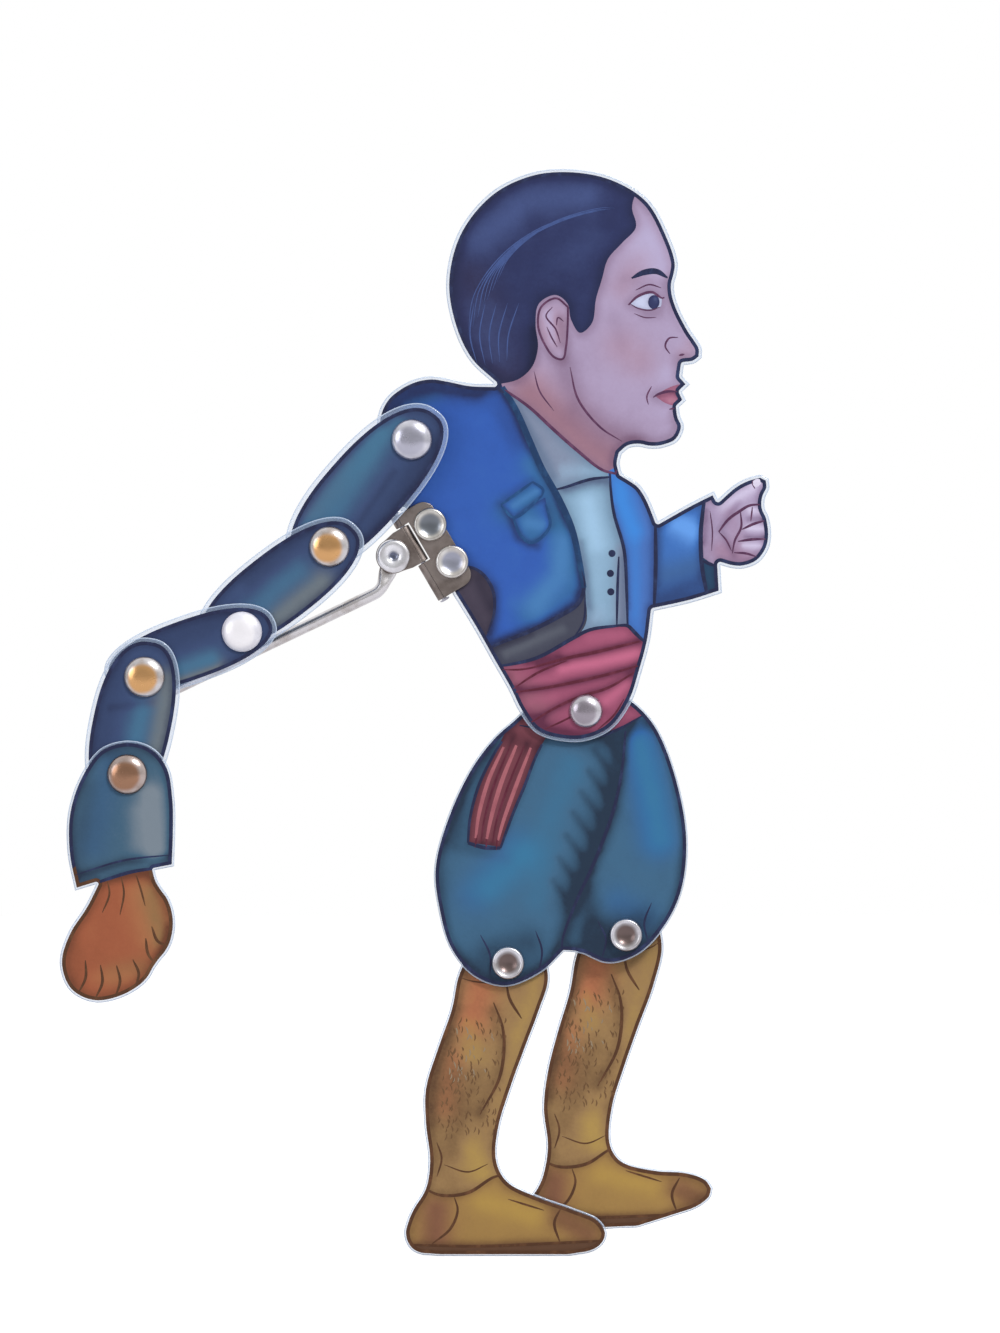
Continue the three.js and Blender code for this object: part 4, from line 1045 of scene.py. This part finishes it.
LEG_BROWN_LINES = [
    ([(-0.4, -5), (0.4, -9), (3.4, -14)], 0.75),
    ([(-3.6, -10), (-1.4, -16), (-1, -21.5), (-2.2, -29), (-7, -38)], 0.85, 0.8),
    ([(-17.8, -45), (-16.6, -49), (-17.8, -53.6)], 0.5), ([(-16, -50.6), (-10, -52.4), (-5, -50.4)], 0.4),
    ([(-26, -55), (-22, -56), (-17, -58.2), (-10, -57.6), (-3, -53.5), (1.5, -53.6)], 0.85, 0.4),
    ([(-26, -70.6), (-8, -71), (8, -70.4), (24, -69.6)], 0.75, 0.3),
    ([(13.5, -61), (11.6, -65.2), (13, -70)], 0.7),
    ([(-13.4, -58.8), (-12.6, -62), (-14.4, -66.6), (-19, -70.4)], 0.7), ([(1.6, -56.6), (4, -55)], 0.6),
    ([(3.6, -58), (6, -56.4)], 0.6), ([(5.8, -59.2), (8.2, -57.6)], 0.6), ([(0, -59.2), (9, -62)], 0.5),
    ([(-15, -2), (-10, -4.4), (-2, -5), (6, -3.4), (9, -1.6)], 0.5),
]
KNIT = stitches(130, (-18, -43), (-3.5, -13), 7)
PALE_KNIT = stitches(26, (-15, -29), (-5, -16), 11)

ARM_AREAS = [
    Area("upper_arm", oblong(-60, -80, 60, 60), ARM,
         shade=[([(-6, 1), (-5.6, -6), (-4.4, -18), (-3.6, -34)], 4.2, 0.75), ([(-8, -4), (-8, -34)], 3.4, 0.6),
                ([(1.4, -9), (1.9, -20), (2.6, -34)], 1.3, -0.35),
                ([(5, 2), (6.5, -12), (6.5, -30)], 4.6, -0.45)],
         tint=[([(-7, -14), (-7.4, -30)], 3, 0.4)], border=(1.4, -0.5)),
    Area("elbow", oblong(-60, -80, 60, 60), ARM,
         shade=[([(-1, -10), (-2, -30)], 4.2, 0.7), ([(-6, 2), (-8, -20)], 3.4, -0.35)],
         tint=[([(5.4, -8), (3.4, -30)], 5, 1.1)], border=(1.5, -0.5)),
    Area("forearm", oblong(-60, -80, 60, 60), ARM,
         shade=[([(3, -10), (1, -30)], 3.6, 0.9), ([(-5, 2), (-6, -28)], 4.6, -0.4)],
         tint=[([(6, -10), (4, -30)], 4, 1.0)], border=(1.5, -0.5)),
    Area("lower_arm", oblong(-60, -80, 60, 60), ARM,
         shade=[([(1, -8), (0, -30)], 4, 0.9), ([(-7, 2), (-8, -24)], 4, -0.3),
                ([(-7, -9), (3, -6)], 1.6, -0.4)],
         tint=[([(6.4, 0), (6, -30)], 4.6, 1.1)], border=(1.4, -0.5)),
]
HAND_AREAS = [
    Area("hand", oblong(-60, -80, 40, -21), HAND,
         shade=[([(3, -30), (6, -40)], 4.5, 0.5), ([(-13, -42), (-11, -52)], 4, -0.3),
                ([(-5, -26.4), (6, -24.4)], 2.4, -0.8), ([(9.6, -46), (11.4, -38)], 2, -0.6),
                ([(-6, -51), (2, -50)], 2.4, 0.35)],
         tint=[([(6, -30), (9, -40)], 5, 1.0), ([(-2, -50), (5, -48)], 4, 0.5)], border=(1.8, -0.5)),
    Area("cuff",
         [(-60, 20, 1), (40, 20, 1), (40, -22.6, 1), (12.4, -22.8, 1), (0, -24.6), (-12, -29.6, 1),
          (-60, -29.6, 1)], CUFF,
         shade=[([(6, -5), (7.4, -19)], 4.4, 1.3), ([(2.4, -9), (3, -17)], 3, 0.45),
                ([(-10, -4), (-12, -24)], 4, -0.35), ([(-14, -26.6), (0, -21.8), (13, -20)], 1.7, -0.8),
                ([(-4, 5), (5, 5)], 3, -0.35)],
         tint=[([(-4, 4), (-8, -18)], 6, 0.9)], border=(1.1, -0.5)),
]
HAND_LINES = [
    ([(-10.4, -55), (-8.6, -51), (-8.8, -46.6)], 0.7), ([(-6.2, -56.4), (-4.4, -52), (-5, -47.6)], 0.7),
    ([(-1.4, -56.2), (0, -51.6), (-1, -47.6)], 0.7), ([(3.4, -53.6), (4.6, -49.6), (3, -46)], 0.7),
    ([(9, -47.2), (6.8, -44.6), (6, -40.6)], 0.75), ([(12.2, -42.6), (9, -41.2), (7.4, -37.6)], 0.75),
    ([(-4, -26.6), (-3.4, -30), (-5, -34.6)], 0.5), ([(-0.6, -25.6), (0.2, -29.6), (-0.6, -35)], 0.5),
    ([(3, -24.8), (4.4, -28.6), (5.6, -32.6)], 0.5),
]
CUFF_LINES = [([(-14, -28.8), (-12, -29.2), (-5, -26.6), (2, -24.2), (12.6, -22.4)], 0.9, 0.3),
              ([(-13, -25.8), (0, -21.4), (12, -19.6)], 0.5)]


def draw(body, sets):
    """Draws sets of strokes on a body's sheet, each with its name and ink."""
    for name, strokes, line in sets:
        ink_lines(SHEETS[body], name, strokes, line)


paint_sheet(SHEETS["torso"], TORSO_AREAS, NAVY_INK)
paint_sheet(SHEETS["breeches"], BREECHES_AREAS, NAVY_INK)
for leg in ("near_leg", "far_leg"):
    paint_sheet(SHEETS[leg], LEG_AREAS, BROWN_INK, prefix=f"{leg}_")
    draw(leg, [
        (f"{leg}_brush_lines", LEG_BROWN_LINES, BROWN_INK),
        (f"{leg}_knit_strokes", KNIT, KNIT_INK),
        (f"{leg}_pale_strokes", PALE_KNIT, GREY_LINE),
    ])
for area in ARM_AREAS:
    paint_sheet(SHEETS[area.name], [area], NAVY_INK)
paint_sheet(SHEETS["hand"], HAND_AREAS, NAVY_INK, lower=(-23.6, BROWN_INK))
draw("hand", [("hand_brush_lines", HAND_LINES, BROWN_INK), ("cuff_line", CUFF_LINES, NAVY_INK)])
draw("torso", [
    ("jacket_outlines", TORSO_NAVY_LINES, NAVY_INK),
    ("lapel_outline", [(LAPEL, 1.7, 0.3)], BLUE_LINE),
    ("pocket_outlines", POCKET_LINES, POCKET_INK),
    ("face_and_fist_lines", TORSO_PLUM_LINES, PLUM_INK),
    ("sash_fold_lines", TORSO_MAROON_LINES, MAROON_INK),
    ("eyebrow", [([(20.4, 108.3), (17.6, 109.9), (14.4, 109.6), (11.4, 108.2)], 1.5, 0.9)], NAVY_INK),
    ("hair_strands", HAIR_LINES, SHEEN_LINE),
    ("thumb_nail", [([(41.8, 56.5), (43.2, 57.3), (44.6, 57.5)], 1.9, 0.5)], NAIL_LINE),
])
dots(SHEETS["torso"], "shirt_buttons", [(6.5, 39.4), (6.1, 34.4), (6.2, 29.8)], 0.9, NAVY_INK)
draw("breeches", [
    ("breeches_fold_lines", BREECHES_NAVY_LINES, NAVY_INK),
    ("sash_end_stripes", SASH_END_STRIPES, PINK_LINE),
    ("sash_end_lines", SASH_END_LINES, MAROON_INK),
])
for sheet in SHEETS.values():
    clear_sheet(sheet)


# Metal

PLATED = metal("plated_rivet", (0.74, 0.74, 0.78), (0.56, 0.55, 0.58))
# Each cap's third colour is a spot painted near its middle: painted reflection of the room on the amber and brown
# caps, painted shade on the grey and waist caps and in the sunk wells of the hinge, knee and rod caps
GREY_CAP = metal("shade_spot_rivet_cap", (0.88, 0.88, 0.92), (0.72, 0.72, 0.77), (0.75, 0.75, 0.81))
WAIST_CAP = metal("waist_rivet_cap", (0.88, 0.87, 0.9), (0.7, 0.68, 0.71), (0.66, 0.63, 0.67))
AMBER_CAP = metal("amber_rivet_cap", (0.86, 0.85, 0.86), (0.72, 0.66, 0.62), (0.88, 0.68, 0.46))
BROWN_CAP = metal("brown_rivet_cap", (0.76, 0.7, 0.68), (0.62, 0.53, 0.48), (0.66, 0.5, 0.4))
# Almost white all over and only partly metallic: a painted highlight
WHITE_CAP = metal("bright_rivet_cap", (0.94, 0.94, 0.97), (0.88, 0.87, 0.9), (1.0, 0.99, 1.0),
                  roughness=0.34, metallic=0.4)
HINGE_CAP = metal("hinge_rivet_cap", (0.9, 0.89, 0.88), (0.7, 0.67, 0.64), (0.66, 0.67, 0.73), roughness=0.3)
DARK_CAP = metal("dark_rivet_cap", (0.84, 0.83, 0.81), (0.62, 0.59, 0.55), (0.49, 0.51, 0.54), roughness=0.3)
KNEE_CAP = metal("knee_rivet_cap", (0.9, 0.9, 0.93), (0.68, 0.66, 0.66), (0.46, 0.4, 0.39), roughness=0.3)
ROD_CAP = metal("rod_rivet_cap", (0.95, 0.95, 0.97), (0.8, 0.79, 0.8), (0.42, 0.44, 0.52), roughness=0.28)
HINGE_METAL = metal("hinge_metal", (0.57, 0.53, 0.51), (0.42, 0.38, 0.36), roughness=0.4, spread=0.25)
ROD_METAL = metal("rod_metal", (0.88, 0.87, 0.88), (0.72, 0.69, 0.67), roughness=0.26, spread=0.15)
SPACER_PLASTIC = milky_plastic()

# Rivets and spacers, in millimetres, the angle in degrees from which their edges are sharp, and the caps'
# spot of painted reflection and shade: how far off the middle it sits, and how softly it fades
CAP_HEIGHT = 1.8
HINGE_CAP_HEIGHT = 1.1
PIN_RADIUS = 0.65
PIN_TAPER = 0.15
PIN_POINT = 0.2
BORE_RADIUS = 0.95
BORE_CHAMFER = 0.1
POST_RADIUS = 1.5
POST_CHAMFER = 0.12
BACK_CAP_HEIGHT = 0.8
BACK_CAP_CHAMFER = 0.1
SPACER_BORE = 1.8
SPACER_EDGE = ((0.3, 0), (0.1, 0.1), (0, 0.3))
SMOOTH_ANGLE = 35.1
PAINTED_SPOT_SHIFT = 0.45
PAINTED_SPOT_FADE = 0.16

# Shapes of the caps in shares of their radius and height: a dome's rings, then as (across, height)
# the floor and the rim of a dished cap, the edges of both kinds at their seat, and a back cap's dome
DOME = (0, 0.12, 0.25, 0.38, 0.5, 0.6, 0.69, 0.77, 0.84, 0.9, 0.945, 0.975, 0.992)
FLOOR = ((0, 0.22), (0.3, 0.25), (0.55, 0.33), (0.75, 0.45), (0.9, 0.6), (1, 0.73))
RIM = ((0.2, 0.87), (0.4, 0.97), (0.55, 1), (0.7, 0.965), (0.82, 0.87), (0.91, 0.72), (0.97, 0.5), (1, 0.26))
DOME_EDGE = [(1, 0.16), (1, 0.06), (0.97, 0)]
DISHED_EDGE = [(1, 0.08), (0.97, 0)]
BACK_DOME = ((1, 0.3), (0.96, 0.55), (0.88, 0.78), (0.76, 0.93), (0.6, 1), (0, 1))


def span_of(node):
    """A round node's middle as [x, z], its radius, and its front and back, in millimetres."""
    low, high = (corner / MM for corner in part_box(node))
    return np.array([low.x + high.x, low.z + high.z]) / 2, (high.x - low.x) / 2, low.y, high.y


def turned(name, node, middle, profile, material, body):
    """A piece turned about a line along Y: profile is (radius, y) from one end of the line to the
    other, and middle is [x, z], all in millimetres."""
    points, faces = lathe(profile, ROUND_STEPS)
    placed = points[:, [0, 2, 1]] + (middle[0], 0, middle[1])
    return solid(name, node, placed * MM, faces, material, body, SMOOTH_ANGLE)


def cap_shape(well):
    """A cap from its tip to its seat, as (share of its radius, share of its height). It is a pressed
    dome, or where it has a well, a raised round rim with a sunk middle as wide as well's share."""
    if not well:
        return [(share, max(0, 1 - share ** 2.5) ** 0.58) for share in DOME] + DOME_EDGE
    shape = [(share * well, height) for share, height in FLOOR]
    return shape + [(well + share * (1 - well), height) for share, height in RIM] + DISHED_EDGE


def rivet(name, body, cap_look, height=CAP_HEIGHT, well=0.0, reflection_share=0.8):
    """A cap on its pin, in front, and a back cap with the hollow post that the pin is pressed into.
    The last argument is the share of the cap's radius that its spot of painted reflection and shade covers."""
    middle, radius, front, tail = span_of(f"{name}_cap")
    seat = front + height
    profile = [(share * radius, seat - height * rise) for share, rise in cap_shape(well)]
    profile += [(PIN_RADIUS, seat), (PIN_RADIUS, tail - PIN_POINT), (PIN_RADIUS - PIN_TAPER, tail), (0, tail)]
    cap = turned(f"{name}_head", f"{name}_cap", middle, profile, cap_look, body)
    # A spot of painted reflection and shade near the cap's middle; on a domed cap it sits off the middle towards
    # the lower left
    reflection_middle = middle - (0 if well else PAINTED_SPOT_SHIFT)
    away = np.array([vertex.co.xz for vertex in cap.data.vertices]) / MM - reflection_middle
    add_values(cap, "painted_reflection_and_shade", np.clip((reflection_share - np.hypot(*away.T) / radius) / PAINTED_SPOT_FADE, 0, 1))
    _, radius, front, back = span_of(f"{name}_post")
    seat = back - BACK_CAP_HEIGHT
    profile = [(0, seat), (BORE_RADIUS, seat), (BORE_RADIUS, front + BORE_CHAMFER),
               (BORE_RADIUS + BORE_CHAMFER, front), (POST_RADIUS - POST_CHAMFER, front),
               (POST_RADIUS, front + POST_CHAMFER), (POST_RADIUS, seat),
               (radius - BACK_CAP_CHAMFER, seat), (radius, seat + BACK_CAP_CHAMFER)]
    profile += [(share * radius, seat + rise * BACK_CAP_HEIGHT) for share, rise in BACK_DOME]
    turned(f"{name}_back", f"{name}_post", middle, profile, PLATED, body)


rivet("shoulder_rivet", "torso", GREY_CAP)
rivet("elbow_rivet", "upper_arm", AMBER_CAP)
rivet("forearm_rivet", "elbow", WHITE_CAP)
rivet("lower_arm_rivet", "forearm", AMBER_CAP)
rivet("hand_rivet", "lower_arm", BROWN_CAP)
rivet("waist_rivet", "torso", WAIST_CAP)
rivet("near_knee_rivet", "breeches", KNEE_CAP, well=0.68, reflection_share=0.72)
rivet("far_knee_rivet", "breeches", KNEE_CAP, well=0.68, reflection_share=0.72)
rivet("hinge_upper_rivet", "torso", DARK_CAP, HINGE_CAP_HEIGHT, well=0.68, reflection_share=0.74)
rivet("hinge_lower_rivet", "torso", HINGE_CAP, HINGE_CAP_HEIGHT, well=0.68, reflection_share=0.7)
rivet("rod_rivet", "rod", ROD_CAP, HINGE_CAP_HEIGHT, well=0.34, reflection_share=0.36)

for name, body in (("shoulder", "torso"), ("far_knee", "breeches")):
    middle, radius, front, back = span_of(f"{name}_spacer")
    half = [(SPACER_BORE, 0), *((radius - inset, y) for inset, y in SPACER_EDGE)]
    ring = [(across, front + y) for across, y in half] + [(across, back - y) for across, y in half[::-1]]
    turned(f"{name}_washer", f"{name}_spacer", middle, ring, SPACER_PLASTIC, body)


# Hinge, drawn [across, y, down] in millimetres from the top of its pin: across runs towards the torso

HINGE_DOWN = Vector(joints["rod_hinge_swing"]["axis"]).normalized()
HINGE_ACROSS = Vector((-HINGE_DOWN.z, 0, HINGE_DOWN.x))
LEAF = 0.6
LEAF_WIDTH = 9.2
LEAF_CORNER = 3.2
LEAF_ROUNDING = 0.14
LEAF_STEP = 0.4
BEND_POINTS = 7
BARREL_RADIUS = 1.6
ROLL_START, ROLL_END, ROLL_POINTS = -90, 218, 42
KNUCKLE_CHAMFER = 0.12
KNUCKLE_GAP = 0.3
HINGE_LENGTH = 23.7
ROD_KNUCKLE_TOP = 3.3
ROD_KNUCKLE_END = 13.3
FIXED_RIVET_ACROSS = 6.3
FIXED_RIVETS_DOWN = (6.2, 17)
ROD_RIVET_ACROSS = 5.6
ROD_TAB_RADIUS = 4.4
ROD_TAB_POINTS = 13
RIVET_HOLE = 1.8
NEAR_PIN = 0.05


def on_hinge(points):
    """[across, y, down] points as places of the frame, in metres."""
    across, y, down = (np.asarray(points, float)[:, column, None] * MM for column in range(3))
    spot = np.array(spot_of("rod_hinge_swing"))
    return spot + across * np.array(HINGE_ACROSS) + y * np.array((0, 1, 0)) + down * np.array(HINGE_DOWN)


def rolled_knuckle(top, bottom, side):
    """The leaf's edge rolled round the pin, from one height to another; side 1 lies towards the torso."""
    angles = np.radians(np.linspace(ROLL_START, ROLL_END, ROLL_POINTS))
    rims = [(BARREL_RADIUS, 1, angles), (BARREL_RADIUS - LEAF, -1, angles[::-1])]
    points, faces, count = [], [], 2 * ROLL_POINTS
    for down, shrink in ((top, KNUCKLE_CHAMFER), (top + KNUCKLE_CHAMFER, 0),
                         (bottom - KNUCKLE_CHAMFER, 0), (bottom, KNUCKLE_CHAMFER)):
        for radius, way, turn in rims:
            reach = radius - way * shrink
            points += [(-reach * math.cos(a) * side, reach * math.sin(a), down) for a in turn]
    for first in (0, count, 2 * count):
        faces += join_rings(first, first + count, count)
    for first in (0, 3 * count):
        faces += [(first + a, first + a + 1, first + count - 2 - a, first + count - 1 - a)
                  for a in range(ROLL_POINTS - 1)]
    return points, faces


def leaf_plate(outline, holes):
    """A flat leaf with rounded rims, whose front is flush with the front of the barrel."""
    edge = anticlockwise(closed_curve(outline, LEAF_STEP))
    rings = [np.array(hole) + RIVET_HOLE * ring_of(HOLE_STEPS) for hole in holes]
    points, faces, _ = slab(edge, rings, -BARREL_RADIUS, LEAF - BARREL_RADIUS, LEAF_ROUNDING)
    return points * (1, 1, -1), faces


def hinge_leaf(name, node, body, parts):
    points, faces = [], []
    for more, sides in parts:
        faces += moved_on(sides, len(points))
        points += list(more)
    solid(name, node, on_hinge(points), faces, HINGE_METAL, body)


inset = BARREL_RADIUS + KNUCKLE_GAP
above, below = KNUCKLE_GAP - ROD_KNUCKLE_TOP, -ROD_KNUCKLE_END - KNUCKLE_GAP
fixed_outline = [(NEAR_PIN, 0, 1), (NEAR_PIN, above, 1), (inset, above, 1), (inset, below, 1), (NEAR_PIN, below, 1),
                 (NEAR_PIN, -HINGE_LENGTH, 1)]
for middle_up, first_angle in ((LEAF_CORNER - HINGE_LENGTH, -90), (-LEAF_CORNER, 0)):
    bend = arc((LEAF_WIDTH - LEAF_CORNER, middle_up), LEAF_CORNER, first_angle, first_angle + 90, BEND_POINTS)
    fixed_outline += [(*bend[0], 1), *bend[1:-1], (*bend[-1], 1)]
hinge_leaf("fixed_hinge_leaf", "hinge_fixed_leaf", "torso", [
    leaf_plate(fixed_outline, [(FIXED_RIVET_ACROSS, -down) for down in FIXED_RIVETS_DOWN]),
    rolled_knuckle(0, -above, 1), rolled_knuckle(-below, HINGE_LENGTH, 1),
])
rod_rivet_spot = (-ROD_RIVET_ACROSS, -(ROD_KNUCKLE_TOP + ROD_KNUCKLE_END) / 2)
tab = arc(rod_rivet_spot, ROD_TAB_RADIUS, 90, 270, ROD_TAB_POINTS)
moving_outline = [(-NEAR_PIN, -ROD_KNUCKLE_END, 1), (-NEAR_PIN, -ROD_KNUCKLE_TOP, 1),
                  (-ROD_RIVET_ACROSS / 2, -ROD_KNUCKLE_TOP, 1), *tab, (-ROD_RIVET_ACROSS / 2, -ROD_KNUCKLE_END, 1)]
hinge_leaf("moving_hinge_leaf", "hinge_moving_leaf", "rod_leaf", [
    leaf_plate(moving_outline, [rod_rivet_spot]), rolled_knuckle(ROD_KNUCKLE_TOP, ROD_KNUCKLE_END, -1),
])

# The hinge pin's head, as (radius, distance past the hinge), and its shaft
PIN_HEAD = ((0, 0.8), (0.7, 0.78), (1.1, 0.68), (1.27, 0.5), (1.3, 0.3), (0.7, 0.3))
PIN_STEPS = 24
pin_profile = [(radius, -past) for radius, past in PIN_HEAD]
pin_profile += [(radius, HINGE_LENGTH + past) for radius, past in PIN_HEAD[::-1]]
pin_points, pin_faces = lathe(pin_profile, PIN_STEPS)
solid("hinge_pin_rod", "hinge_pin", on_hinge(pin_points), pin_faces, PLATED, "torso")


# Control rod, in millimetres: a round bar flattened into an eye at its upper end

ROD_RADIUS = 1.5
ROD_SIDES = 28
EYE_RADIUS = 3.6
EYE_STEPS = 64
EYE_THICKNESS = 1.2
EYE_ROUNDING = 0.3
NECK_LEAN = math.radians(20)
ROD_LEAN = math.radians(64.5)
NECK_LENGTH = 7.2
BEND_RADIUS = 5
BEND_LENGTH = BEND_RADIUS * (ROD_LEAN - NECK_LEAN)
STRAIGHT_LENGTH = 56
ROD_END = NECK_LENGTH + BEND_LENGTH + STRAIGHT_LENGTH
END_CHAMFER = 0.35

# How the bar flattens towards its eye: where it is round, over what length, how much wider it gets,
# and how much thinner than the eye it stays on each side
ROUND_FROM = 8.5
FLATTENING = 5.0
FLAT_WIDENING = 0.75
FLAT_SINK = 0.04

eye_spot = spot_of("rod_swivel")
EYE_MIDDLE = np.array([eye_spot.x, eye_spot.z]) / MM
EYE_DEPTH = eye_spot.y / MM


def heading(lean):
    return np.array([-math.sin(lean), -math.cos(lean)])


def rod_place(distance):
    """Point on the rod's middle line and its heading, in the plane of the figure."""
    bent = min(max(distance - NECK_LENGTH, 0), BEND_LENGTH) / BEND_RADIUS
    spot = EYE_MIDDLE + min(distance, NECK_LENGTH) * heading(NECK_LEAN)
    side = np.array([-math.cos(NECK_LEAN), math.sin(NECK_LEAN)])
    spot = spot + BEND_RADIUS * (math.sin(bent) * heading(NECK_LEAN) + (1 - math.cos(bent)) * side)
    return spot + max(distance - NECK_LENGTH - BEND_LENGTH, 0) * heading(ROD_LEAN), heading(NECK_LEAN + bent)


def rod_section(distance):
    """Half width in the plane and half thickness across it."""
    flat = max(0, min(1, (ROUND_FROM - distance) / FLATTENING))
    flat = flat * flat * (3 - 2 * flat)
    trim = max(0, distance - (ROD_END - END_CHAMFER))
    thick = ROD_RADIUS + (EYE_THICKNESS / 2 - FLAT_SINK - ROD_RADIUS) * flat
    return ROD_RADIUS + FLAT_WIDENING * flat - trim, thick - trim


# Rings along the bar, closer together where it flattens and bends
places = [2.2, 3.2, 4, 4.8, 5.6, 6.4, 7.2, 7.9, 8.6, 9.3, 10, 10.7, 11.4, *np.arange(13, ROD_END - 0.4, 2.5),
          ROD_END - END_CHAMFER, ROD_END - 0.2, ROD_END]
rod_points, rod_faces = [], []
for distance in places:
    (x, z), (ahead_x, ahead_z) = rod_place(distance)
    width, thick = rod_section(distance)
    for across, y in ring_of(ROD_SIDES) * (width, thick):
        rod_points.append((x - across * ahead_z, EYE_DEPTH + y, z + across * ahead_x))
for first in range(0, len(rod_points) - ROD_SIDES, ROD_SIDES):
    rod_faces += join_rings(first, first + ROD_SIDES, ROD_SIDES)
rod_faces += [tuple(range(ROD_SIDES)), tuple(range(len(rod_points) - ROD_SIDES, len(rod_points)))]
eye_points, eye_faces, _ = slab(EYE_RADIUS * ring_of(EYE_STEPS), [RIVET_HOLE * ring_of(HOLE_STEPS)],
                                -EYE_THICKNESS / 2, EYE_THICKNESS / 2, EYE_ROUNDING)
rod_faces += moved_on(eye_faces, len(rod_points))
rod_points += list(eye_points + (EYE_MIDDLE[0], EYE_DEPTH, EYE_MIDDLE[1]))
solid("steel_control_rod", "control_rod", np.array(rod_points) * MM, rod_faces, ROD_METAL, "rod")


# Floor, light and camera

def seen_as(tree, shown, mirrored, plain):
    """One colour to the camera and through clear plastic, one in reflections, and one as light."""
    path = add(tree, "ShaderNodeLightPath", {})
    direct = calc(tree, path["Is Camera Ray"], "MAXIMUM", path["Is Transmission Ray"])
    return mixed(tree, direct, mixed(tree, path["Is Glossy Ray"], plain, mirrored), shown)


# The room as metal mirrors it: its glow level with the part, how that grows along each axis, its bounds
GLOW = 0.7
GLOW_GROWTH = {"X": 0.14, "Y": 0.27, "Z": 0.3}
GLOW_LEAST, GLOW_MOST = 0.16, 1.0


def room_glow(tree):
    """What metal mirrors: the white backdrop behind, bright above, and a dimmer room in front."""
    heading = add(tree, "ShaderNodeTexCoord", {})["Generated"]
    parts = add(tree, "ShaderNodeSeparateXYZ", {"Vector": heading})
    glow = GLOW
    for axis, strength in GLOW_GROWTH.items():
        glow = calc(tree, calc(tree, parts[axis], "MULTIPLY", strength), "ADD", glow)
    bounded = add(tree, "ShaderNodeClamp", {"Value": glow, "Min": GLOW_LEAST, "Max": GLOW_MOST})[0]
    return add(tree, "ShaderNodeCombineColor", {"Red": bounded, "Green": bounded, "Blue": bounded})[0]


def grey(red, green, blue):
    """A pale colour given as light, not as it reads on a screen."""
    return (red, green, blue, 1)


scene = bpy.context.scene
world = bpy.data.worlds.new("studio")
scene.world = world
world.use_nodes = True
tree = world.node_tree
backdrop = seen_as(tree, grey(1, 1, 1), room_glow(tree), grey(0.57, 0.57, 0.6))
tree.links.new(backdrop, tree.nodes["Background"].inputs["Color"])

FLOOR_REACH = 3.0
mesh = bpy.data.meshes.new("floor")
mesh.from_pydata([(x * FLOOR_REACH, y * FLOOR_REACH, 0) for x, y in ((-1, -1), (1, -1), (1, 1), (-1, 1))], [],
                 [(0, 1, 2, 3)])
floor = bpy.data.objects.new("floor", mesh)
scene.collection.objects.link(floor)
material, tree, shader = new_material("pale_floor", Roughness=0.9, Specular_IOR_Level=0.0, Emission_Strength=1.0)
grain = noise_of(tree, scale=40, detail=2.0)
tree.links.new(mixed(tree, grain, grey(0.52, 0.52, 0.53), grey(0.5, 0.5, 0.51)), shader["Base Color"])
lit = seen_as(tree, grey(0.72, 0.72, 0.72), grey(0.3, 0.29, 0.29), grey(0, 0, 0))
tree.links.new(lit, shader["Emission Color"])
mesh.materials.append(material)


def area_light(name, place, target, size, power, tone):
    light = bpy.data.lights.new(name, "AREA")
    light.shape, light.size, light.energy, light.color = "DISK", size, power, tone
    lamp = bpy.data.objects.new(name, light)
    lamp.location = place
    lamp.rotation_euler = (Vector(target) - Vector(place)).to_track_quat("-Z", "Y").to_euler()
    scene.collection.objects.link(lamp)


area_light("key_light", (0.9, -1.3, 1.5), (0.01, 0, 0.15), 0.5, 21.5, (1, 1, 1))
area_light("fill_light", (-1.2, -1.2, 0.5), (0, 0, 0.13), 0.9, 4.5, (0.95, 0.96, 1))
area_light("back_light", (0.3, 1.4, 1.2), (0, 0, 0.15), 0.8, 10, (1, 1, 1))

CAMERA_PLACE = (0.021024, -2.2, 0.147625)
FRAME_WIDTH = 0.25
SENSOR = 36
camera = bpy.data.cameras.new("camera")
camera.sensor_fit = "HORIZONTAL"
camera.sensor_width = SENSOR
camera.lens = SENSOR * (SHEETS["torso"].front - CAMERA_PLACE[1]) / FRAME_WIDTH
camera.clip_end = 20
view = bpy.data.objects.new("camera", camera)
view.location = CAMERA_PLACE
view.rotation_euler = (math.pi / 2, 0, 0)
scene.collection.objects.link(view)
scene.camera = view
scene.view_settings.view_transform = "Standard"
